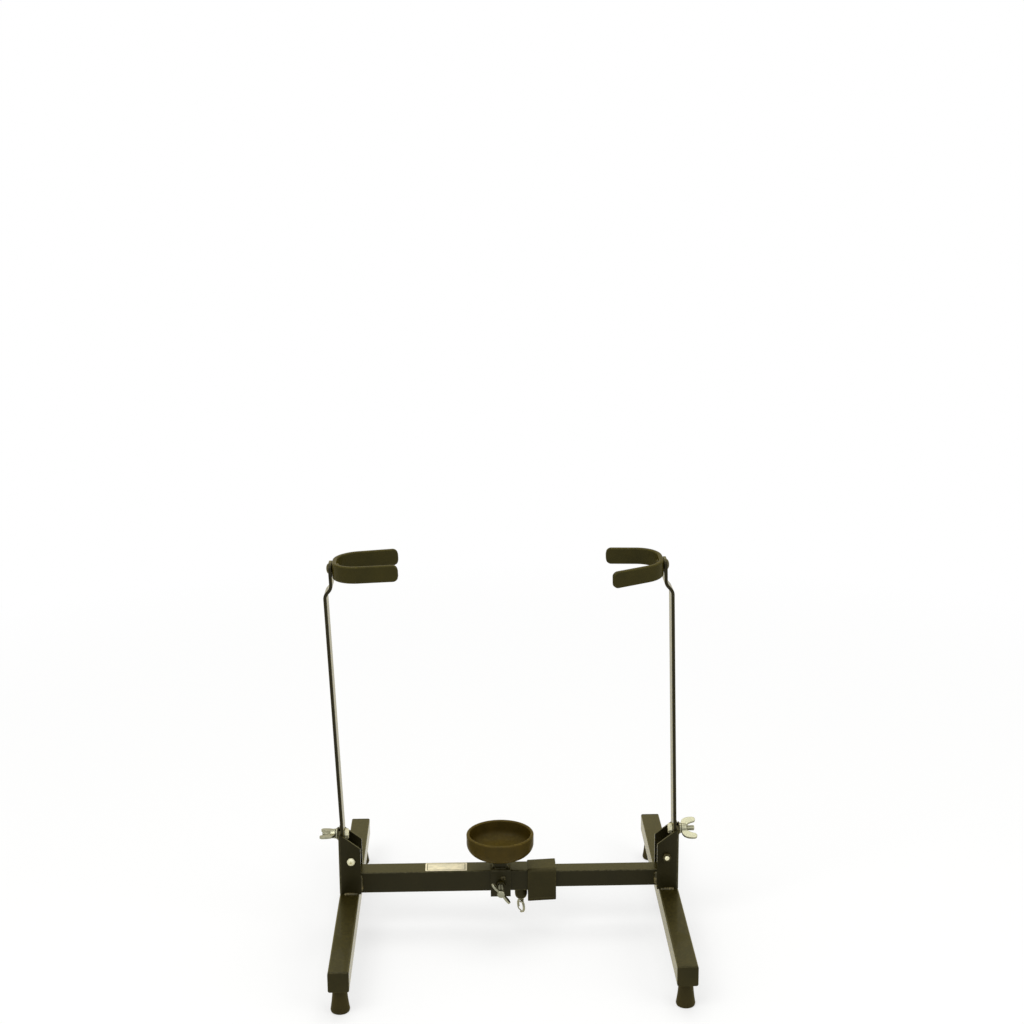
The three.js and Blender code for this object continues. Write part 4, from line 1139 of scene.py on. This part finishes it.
class STAND_OT_pivots(StandOperator, bpy.types.Operator):
    """Pivot bolts with cross-recessed heads, and their nuts"""
    bl_idname = "stand.pivots"
    bl_label = "Pivot Bolts"

    def execute(self, context):
        face = PLATE_Y + GAP
        nut_height, past_nut = 3.2 * MM, 1.5 * MM
        length = 2 * PLATE_Y + nut_height + 2 * GAP + past_nut
        for side, body, placing in sides():
            head = domed_head(3.7 * MM, 2.6 * MM, 1.9 * MM)
            shank = threaded(M4_RADIUS, length + 0.6 * MM, M4_PITCH)
            peened = moved(domed_head(2.2 * MM, 1.35 * MM), turn("X", pi),
                           shift(0, 0, -length + 1.45 * MM))
            bolt = joined(head, moved(shank, turn("X", pi), shift(0, 0, 0.6 * MM)), peened)
            put(f"{side}_pivot_screw", moved(bolt, turn("X", -pi / 2),
                                            shift(PIVOT_X, face, PIVOT_Z), placing),
                bright_zinc(), body, [f"{side}_pivot_bolt"])
            nut = hex_piece(7 * MM, nut_height, 2.15 * MM)
            put(f"{side}_pivot_hex_nut", moved(nut, turn("X", pi / 2),
                                              shift(PIVOT_X, -face, PIVOT_Z), placing),
                dark_steel(), body, [f"{side}_pivot_nut"])
        return {"FINISHED"}


def washer_ring(radius, height):
    """A washer that lies against the bracket and reaches outwards."""
    corners = [(M5_HOLE, 0, 0.15 * MM), (radius, 0, 0.25 * MM), (radius, height, 0.35 * MM),
               (M5_HOLE, height, 0.2 * MM)]
    return moved(turned(filleted(corners, steps=4), 64, closed=True), turn("Y", pi / 2))


class STAND_OT_arm_locks(StandOperator, bpy.types.Operator):
    """Lock studs, washers, wing nuts, and the bolt heads on the arms"""
    bl_idname = "stand.arm_locks"
    bl_label = "Arm Locks"

    def execute(self, context):
        pitch = context.scene.stand_sizes.thread_pitch
        wing_turns = {"left": radians(96), "right": radians(113)}
        spacer_height, washer_height = 1.2 * MM, 1.4 * MM
        outwards = turn("Y", pi / 2)
        at_web = shift(WEB_OUTER, 0, LOCK_Z)
        arm_inner = WEB_OUTER - SHEET - GAP - ARM_THICK
        for side, body, placing in sides():
            stud = moved(threaded(M5_RADIUS, 17 * MM, pitch), outwards, shift(-SHEET), at_web,
                         placing)
            put(f"{side}_threaded_stud", stud, zinc(), body, [f"{side}_lock_stud"])
            spacer = moved(washer_ring(6 * MM, spacer_height), at_web, placing)
            put(f"{side}_spacer_ring", spacer, dark_steel(), body, [f"{side}_spacer_washer"])
            plain = moved(washer_ring(5 * MM, washer_height), shift(spacer_height), at_web,
                          placing)
            put(f"{side}_washer_ring", plain, zinc(), body, [f"{side}_washer"])
            nut = moved(wing_nut_casting(M5_NUT_BORE), turn("Z", wing_turns[side]), outwards,
                        shift(spacer_height + washer_height + GAP), at_web, placing)
            put(f"{side}_wing_nut_casting", nut, zinc(), f"{side}_wing_nut_body",
                [f"{side}_wing_nut"])
            head = hex_piece(8 * MM, 3.5 * MM)
            stub = rod("z", M5_RADIUS, -ARM_THICK - GAP, MM, steps=32)
            bolt = moved(joined(head, stub), turn("Z", pi / 6), turn("Y", -pi / 2),
                         shift(arm_inner - GAP, 0, LOCK_Z), placing)
            put(f"{side}_lock_bolt_hex", bolt, bright_zinc(), f"{side}_arm_body",
                [f"{side}_lock_bolt_head"])
        return {"FINISHED"}


# The arm, from its pivot: root and step of the bar's middle line, and where its lean starts
ARM_LEAN = {"left": radians(2.2), "right": radians(-1.3)}
ARM_HEIGHT = 281 * MM
ARM_ROOT = 7.5 * MM
ARM_STEP = 6 * MM
LEAN_START = 26.2 * MM
RIVET_HEIGHT = ARM_HEIGHT - 6 * MM
RIVET_HOLE = 3.3 * MM
ARM_TIP = 5 * MM
ARM_EDGE = 0.6 * MM


def arm_path(lean):
    """Middle line of the flat bar from the pivot up, as (out, height)."""
    slope = tan(lean)
    start, run = ARM_HEIGHT - 31.9 * MM, 13 * MM
    ease = 4 * MM

    def out(height):
        return ARM_ROOT + max(height - LEAN_START, 0) * slope

    line = [(ARM_ROOT, 0.0)]
    for k in range(9):
        share = k / 8
        height = LEAN_START - ease + 2 * ease * share
        line.append((ARM_ROOT + ease * slope * share ** 2, height))
    for k in range(1, 6):
        height = LEAN_START + ease + (start - LEAN_START - ease) * k / 6
        line.append((out(height), height))
    first, last = (out(start), start), (out(start + run) - ARM_STEP, start + run)
    mid = start + run / 2
    control = ((out(mid), mid), (out(mid) - ARM_STEP, mid))
    for k in range(25):
        t = k / 24
        line.append(tuple((1 - t) ** 3 * a + 3 * t * (1 - t) ** 2 * b + 3 * t * t * (1 - t) * c
                          + t ** 3 * d for a, b, c, d in zip(first, *control, last)))
    height = ARM_HEIGHT - ARM_TIP
    line.append((out(height) - ARM_STEP, height))
    for k in range(1, 13):
        near = ARM_TIP * cos(k * pi / 24) if k < 12 else 0.0
        line.append((out(ARM_HEIGHT - near) - ARM_STEP, ARM_HEIGHT - near))
    return line


def at_rivet(lean):
    """Placing from the arm's pivot to its rivet."""
    out = ARM_ROOT - ARM_STEP + (RIVET_HEIGHT - LEAN_START) * tan(lean)
    return shift(out, 0, RIVET_HEIGHT) @ turn("Y", lean)


def flat_bar(lean):
    """The arm: flat bar with a joggle and rounded top corners, welded to its pivot tube."""
    line = arm_path(lean)
    half = BAR_HALF
    outlines = []
    for out, height in line:
        near = max(ARM_HEIGHT - height, 0)
        reach = half - pull_in(near, ARM_TIP)
        thick = ARM_THICK / 2 - pull_in(near + 0.1 * MM, ARM_EDGE)
        outlines.append(rounded_box(thick, reach, ARM_EDGE, 4))
    bar = swept([(out, 0, height) for out, height in line], ALONG_Y, outlines)
    bore, radius, ease = M4_HOLE, 6 * MM, 0.4 * MM
    tube = turned([(bore, -half + ease), (bore + ease, -half), (radius - ease, -half),
                   (radius, -half + ease), (radius, half - ease), (radius - ease, half),
                   (bore + ease, half), (bore, half - ease)], 48, closed=True)
    tube = moved(tube, turn("X", pi / 2))
    block_end = half - 0.2 * MM
    block = prism("y", [(0.5 * MM, 2.6 * MM), (7.4 * MM, 0.6 * MM), (7.4 * MM, 5 * MM),
                        (3.0 * MM, 5 * MM)], -block_end, block_end)
    rivet_hole = moved(rod("x", RIVET_HOLE, -5 * MM, 5 * MM, steps=32), at_rivet(lean))
    lock_hole = rod("x", M5_HOLE, 2 * MM, 14 * MM, (0, LOCK_Z - PIVOT_Z), steps=32)
    return cut(joined(bar, block, tube), rivet_hole, lock_hole)


class STAND_OT_arms(StandOperator, bpy.types.Operator):
    """Folding arms of flat bar with their pivot tubes"""
    bl_idname = "stand.arms"
    bl_label = "Arms"

    def execute(self, context):
        for side, _, placing in sides():
            arm = moved(flat_bar(ARM_LEAN[side]), shift(PIVOT_X, 0, PIVOT_Z), placing)
            put(f"{side}_arm_flat_bar", arm, paint(), f"{side}_arm_body", [f"{side}_arm"])
        return {"FINISHED"}


CLIP_THICK = 4.2 * MM
# Length and flare of the prongs on the +Y and -Y side, and the clip's tilt on its rivet
CLIP_SHAPES = {
    "left": {"plus": (35 * MM, 0.0), "minus": (35 * MM, radians(5)), "tilt": 0.0},
    "right": {"plus": (27.4 * MM, radians(7)), "minus": (35.5 * MM, radians(24)),
              "tilt": radians(3.5)},
}


def prong_path(length, flare, tip):
    """One half of a clip's middle line, from the rivet to its tip on +Y."""
    bend, flat = 21.9 * MM, 4.5 * MM
    sweep = pi / 2 - flare
    line = [(0.0, flat * 0.5)]
    for k in range(31):
        angle = sweep * k / 30
        line.append((bend * (cos(angle) - 1), flat + bend * sin(angle)))
    ahead = Vector((-sin(sweep), cos(sweep)))
    start = Vector(line[-1])
    for k in range(1, 6):
        line.append(tuple(start + ahead * (length - tip) * k / 5))
    for k in range(1, 15):
        near = tip * cos(k * pi / 28) if k < 14 else 0.0
        line.append(tuple(start + ahead * (length - near)))
    return line


def clip_rubber(shape, edge, wall=0.0):
    """The clip's band with rounded edges and tips; a wall gives the room inside it."""
    tip = 5 * MM
    half_thick = CLIP_THICK / 2 - wall
    half_height = 7.5 * MM - wall
    halves = []
    for side in ("minus", "plus"):
        length, flare = shape[side]
        halves.append(prong_path(length - wall, flare, tip))
    minus = [(x, -y) for x, y in halves[0]]
    line = list(reversed(minus)) + [(0.0, 0.0)] + halves[1]
    lengths = [0.0]
    for first, second in zip(line, line[1:]):
        lengths.append(lengths[-1] + (Vector(second) - Vector(first)).length)
    outlines = []
    for along in lengths:
        near = min(along, lengths[-1] - along)
        tall = half_height - pull_in(near, tip)
        thick = half_thick - pull_in(near, edge)
        outlines.append(rounded_box(max(thick, 0.2 * MM), tall, edge, 5))
    return swept([(x, y, 0) for x, y in line], UP, outlines)


class STAND_OT_clips(StandOperator, bpy.types.Operator):
    """Rubber-covered clips at the tops of the arms, and their rivets"""
    bl_idname = "stand.clips"
    bl_label = "Clips"

    def execute(self, context):
        edge = context.scene.stand_sizes.rubber_edge
        room_edge, wall = 0.4 * MM, 0.8 * MM
        band_x = -ARM_THICK / 2 - GAP - CLIP_THICK / 2
        outer = ARM_THICK / 2 + GAP
        inner = ARM_THICK / 2 + 2 * GAP + CLIP_THICK
        shank, head_radius, head_height = 3 * MM, 4.5 * MM, 2 * MM
        head = [(head_radius * cos(k * pi / 24), head_height * sin(k * pi / 24))
                for k in range(12)]
        head = [(shank, 0), *head, (0, head_height)]
        rivet_line = [(r, -inner - z) for r, z in reversed(head)]
        rivet_line += [(r, outer + z) for r, z in head]
        for side, _, placing in sides():
            shape = CLIP_SHAPES[side]
            on_arm = placing @ shift(PIVOT_X, 0, PIVOT_Z) @ at_rivet(ARM_LEAN[side])
            bore = rod("x", RIVET_HOLE, -5 * MM, 5 * MM, steps=32)
            room = clip_rubber(shape, room_edge, wall)
            cover = moved(cut(clip_rubber(shape, edge), room, bore), turn("X", shape["tilt"]),
                          shift(band_x), on_arm)
            put(f"{side}_clip_rubber", cover, rubber("clip"), f"{side}_clip",
                [f"{side}_clip_cover"])
            rivet = moved(turned(rivet_line, 48), turn("Y", pi / 2), on_arm)
            put(f"{side}_domed_rivet", rivet, dark_steel(), f"{side}_arm_body",
                [f"{side}_clip_rivet"])
        return {"FINISHED"}


def weld_bead(start, end, width, radius):
    """A rippled bead along a straight joint, thinner towards both ends."""
    start, end = Vector(start), Vector(end)
    length = (end - start).length
    steps = max(12, ceil(length / (0.22 * MM)))
    ripple = 1.25 * MM
    path = []
    outlines = []
    for i in range(steps + 1):
        along = length * i / steps
        near = min(along, length - along)
        share = (along / ripple) % 1
        swell = 0.86 + 0.14 * sqrt(max(0, 1 - (2 * share - 1) ** 2))
        wander = 0.05 * MM * sin(along * 2900) + 0.04 * MM * sin(along * 5300 + 1)
        size = max(radius * swell - pull_in(near, radius) * 0.9, 0.1 * MM)
        path.append(start.lerp(end, i / steps) + width * wander)
        outlines.append(circle(size, 16))
    return swept(path, width, outlines)


class STAND_OT_welds(StandOperator, bpy.types.Operator):
    """Weld beads at the brackets, the crossbar, the arms' pivot tubes and the post"""
    bl_idname = "stand.welds"
    bl_label = "Weld Beads"

    def execute(self, context):
        radius = context.scene.stand_sizes.weld_radius
        for side, body, placing in sides():
            half, bar_radius = ((BAR_HALF, radius) if side == "left" else
                                (INNER_HALF, radius * 1.5))
            beads = []
            for sign in (-1, 1):
                y = sign * (PLATE_Y + 0.2 * MM)
                beads.append(weld_bead((PLATE_EDGE + 3 * MM, y, LEG_HIGH),
                                       (WEB_OUTER - 4 * MM, y, LEG_HIGH), UP, radius))
                y = sign * (half + 0.4 * MM)
                beads.append(weld_bead((PLATE_EDGE, y, BAR_Z - half + 2 * MM),
                                       (PLATE_EDGE, y, BAR_Z + half - 2 * MM),
                                       ALONG_X, bar_radius))
            beads.append(self.crosswise(PLATE_EDGE + 1.7 * MM, 7.5 * MM, LEG_HIGH - 0.3 * MM,
                                        radius))
            put(f"{side}_bracket_weld", moved(joined(*beads), placing), weld_paint(), body)

            reach = 8.5 * MM
            bead = joined(
                self.crosswise(PIVOT_X + 5.6 * MM, reach, PIVOT_Z + 5.2 * MM, radius * 0.8),
                self.crosswise(PIVOT_X + 3.3 * MM, reach, PIVOT_Z + 5.1 * MM, radius * 0.64))
            put(f"{side}_arm_weld", moved(bead, placing), paint(), f"{side}_arm_body")

        low = span("cup_post", 2)[0]
        post_radius = radius * 0.75
        around = [weld_bead((CUP_X - 5.4 * MM, y, low), (CUP_X + 5.4 * MM, y, low), UP,
                            post_radius) for y in (-9.6 * MM, 9.6 * MM)]
        around += [weld_bead((x, -8.6 * MM, low), (x, 8.6 * MM, low), UP, post_radius)
                   for x in (CUP_X - 6.1 * MM, CUP_X + 6.1 * MM)]
        put("cup_post_weld", joined(*around), paint(), "cup_carriage")
        return {"FINISHED"}

    def crosswise(self, x, half_length, z, radius):
        """A bead that runs from front to back."""
        return weld_bead((x, -half_length, z), (x, half_length, z), ALONG_X, radius)


class STAND_OT_sticker(StandOperator, bpy.types.Operator):
    """Bare paper sticker on the crossbar's top"""
    bl_idname = "stand.sticker"
    bl_label = "Bare Sticker"

    def execute(self, context):
        half_x = context.scene.stand_sizes.sticker_length / 2
        half_y = 8.3 * MM
        place = (-58 * MM, 0)
        thick, soft, corner = 0.12 * MM, 0.06 * MM, 0.8 * MM
        stations = [(BAR_TOP - 0.02 * MM, half_x, half_y, corner),
                    (BAR_TOP + thick * 0.6, half_x, half_y, corner),
                    (BAR_TOP + thick, half_x - soft, half_y - soft, corner)]
        put("crossbar_sticker", stepped_block("z", place, stations), sticker_paper(),
            "left_frame")
        line, inset = 0.55 * MM, 1.6 * MM
        low, high = BAR_TOP + thick * 0.5, BAR_TOP + thick + 0.03 * MM
        rings = [section("z", rounded_box(half_x - inner, half_y - inner, 0.4 * MM), at, place)
                 for inner, at in ((inset, low), (inset, high),
                                   (inset + line, high), (inset + line, low))]
        put("crossbar_sticker_line", loft(rings, closed=True), (plastic()[0], None),
            "left_frame")
        return {"FINISHED"}


class STAND_OT_inside(StandOperator, bpy.types.Operator):
    """Finish for the frame's own nodes that stay, the straps in the clips"""
    bl_idname = "stand.inside"
    bl_label = "Hidden Steel"

    def execute(self, context):
        for name in ("left_clip_strap", "right_clip_strap"):
            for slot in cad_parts[name].material_slots:
                slot.material = paint()[0]
        return {"FINISHED"}


class STAND_OT_stage(StandOperator, bpy.types.Operator):
    """Pale floor, soft lamps, white surroundings and the camera"""
    bl_idname = "stand.stage"
    bl_label = "Studio"

    def execute(self, context):
        scene = context.scene
        scene.view_settings.view_transform = "Standard"
        self.floor(scene.stand_sizes.floor_radius)
        self.surroundings(scene)
        self.lamp("key", (-1.1, -1.5, 2.2), 1.3, 26)
        self.lamp("fill", (1.5, -1.2, 1.3), 1.2, 9)
        self.lamp("top", (0.1, 0.5, 2.4), 1.6, 20)
        self.camera(scene)
        return {"FINISHED"}

    def floor(self, radius):
        bm = bmesh.new()
        bmesh.ops.create_circle(bm, cap_ends=True, segments=96, radius=radius)
        mesh = bpy.data.meshes.new("floor")
        bm.to_mesh(mesh)
        bm.free()
        floor = bpy.data.objects.new("floor", mesh)
        bpy.context.scene.collection.objects.link(floor)
        floor.location.z = -0.2 * MM
        material = bpy.data.materials.new("pale_floor")
        material.use_nodes = True
        tree = material.node_tree
        tree.nodes.clear()
        matt = node(tree, "ShaderNodeBsdfDiffuse", in_Color=(0.9, 0.9, 0.88, 1))
        glow = node(tree, "ShaderNodeEmission", in_Color=(1, 1, 1, 1), in_Strength=1.0)
        mix = node(tree, "ShaderNodeMixShader")
        out = node(tree, "ShaderNodeOutputMaterial")
        place = node(tree, "ShaderNodeTexCoord")
        away = node(tree, "ShaderNodeVectorMath", operation="LENGTH")
        tree.links.new(place.outputs["Object"], away.inputs[0])
        share = ranged(tree, away.outputs["Value"], 0.3, 1.3, 0.62, 1)
        seen = times(tree, self.seen(tree), share)
        tree.links.new(seen, mix.inputs[0])
        tree.links.new(matt.outputs[0], mix.inputs[1])
        tree.links.new(glow.outputs[0], mix.inputs[2])
        tree.links.new(mix.outputs[0], out.inputs["Surface"])
        mesh.materials.append(material)

    def seen(self, tree):
        """1 for what the camera sees directly, in gloss or through glass."""
        path = node(tree, "ShaderNodeLightPath")
        glossy = plus(tree, path.outputs["Is Camera Ray"], path.outputs["Is Glossy Ray"])
        return plus(tree, glossy, path.outputs["Is Transmission Ray"])

    def surroundings(self, scene):
        world = bpy.data.worlds.new("studio")
        scene.world = world
        world.use_nodes = True
        tree = world.node_tree
        tree.nodes.clear()
        soft = node(tree, "ShaderNodeBackground", in_Color=(1, 1, 1, 1), in_Strength=0.55)
        white = node(tree, "ShaderNodeBackground", in_Color=(1, 1, 1, 1), in_Strength=1.0)
        mix = node(tree, "ShaderNodeMixShader")
        out = node(tree, "ShaderNodeOutputWorld")
        tree.links.new(self.seen(tree), mix.inputs[0])
        tree.links.new(soft.outputs[0], mix.inputs[1])
        tree.links.new(white.outputs[0], mix.inputs[2])
        tree.links.new(mix.outputs[0], out.inputs["Surface"])

    def lamp(self, name, where, size, power):
        light = bpy.data.lights.new(name, "AREA")
        light.shape = "SQUARE"
        light.size = size
        light.energy = power
        lamp = bpy.data.objects.new(name, light)
        lamp.location = where
        middle_of_stand = Vector((0, 0, 0.15))
        aim = middle_of_stand - Vector(where)
        lamp.rotation_euler = aim.to_track_quat("-Z", "Y").to_euler()
        bpy.context.scene.collection.objects.link(lamp)

    def camera(self, scene):
        """Camera with the place, aim and focal length that were fitted to the photograph."""
        where = (-0.0283, -1.483, 0.757)
        focal_pixels, image_pixels = 1735, 1024
        pitch, yaw, roll = radians(13.58), radians(1.29), radians(-0.40)
        ahead = Vector((sin(yaw) * cos(pitch), cos(yaw) * cos(pitch), -sin(pitch)))
        level_right = Vector((cos(yaw), -sin(yaw), 0))
        level_up = level_right.cross(ahead)
        right = cos(roll) * level_right + sin(roll) * level_up
        up = -sin(roll) * level_right + cos(roll) * level_up
        data = bpy.data.cameras.new("camera")
        data.sensor_width = 36
        data.lens = focal_pixels / image_pixels * data.sensor_width
        camera = bpy.data.objects.new("camera", data)
        turned_by = Matrix((right, up, -ahead)).transposed().to_4x4()
        camera.matrix_world = shift(*where) @ turned_by
        scene.collection.objects.link(camera)
        scene.camera = camera


PIECE_OPERATORS = (
    STAND_OT_legs, STAND_OT_feet, STAND_OT_brackets, STAND_OT_crossbar, STAND_OT_crossbar_lock,
    STAND_OT_cup_clamp, STAND_OT_cup, STAND_OT_pivots, STAND_OT_arm_locks, STAND_OT_arms,
    STAND_OT_clips, STAND_OT_welds, STAND_OT_sticker, STAND_OT_inside, STAND_OT_stage,
)


class STAND_PT_pieces(bpy.types.Panel):
    bl_label = "Instrument Stand"
    bl_idname = "STAND_PT_pieces"
    bl_space_type = "VIEW_3D"
    bl_region_type = "UI"
    bl_category = "Stand"

    def draw(self, context):
        layout = self.layout
        for group in (context.scene.stand_sizes, context.scene.stand_colours):
            column = layout.column(align=True)
            for name in group.bl_rna.properties.keys():
                if name not in ("rna_type", "name"):
                    column.prop(group, name)
        column = layout.column(align=True)
        for operator in PIECE_OPERATORS:
            column.operator(operator.bl_idname)


CLASSES = (StandSizes, StandColours, *PIECE_OPERATORS, STAND_PT_pieces)


def register():
    for kind in CLASSES:
        bpy.utils.register_class(kind)
    bpy.types.Scene.stand_sizes = bpy.props.PointerProperty(type=StandSizes)
    bpy.types.Scene.stand_colours = bpy.props.PointerProperty(type=StandColours)


def unregister():
    del bpy.types.Scene.stand_colours
    del bpy.types.Scene.stand_sizes
    for kind in reversed(CLASSES):
        bpy.utils.unregister_class(kind)


def main():
    register()
    bpy.ops.stand.legs()
    bpy.ops.stand.feet()
    bpy.ops.stand.brackets()
    bpy.ops.stand.crossbar()
    bpy.ops.stand.crossbar_lock()
    bpy.ops.stand.cup_clamp()
    bpy.ops.stand.cup()
    bpy.ops.stand.pivots()
    bpy.ops.stand.arm_locks()
    bpy.ops.stand.arms()
    bpy.ops.stand.clips()
    bpy.ops.stand.welds()
    bpy.ops.stand.sticker()
    bpy.ops.stand.inside()
    bpy.ops.stand.stage()
    bpy.context.view_layer.update()


if __name__ == "__main__":
    main()
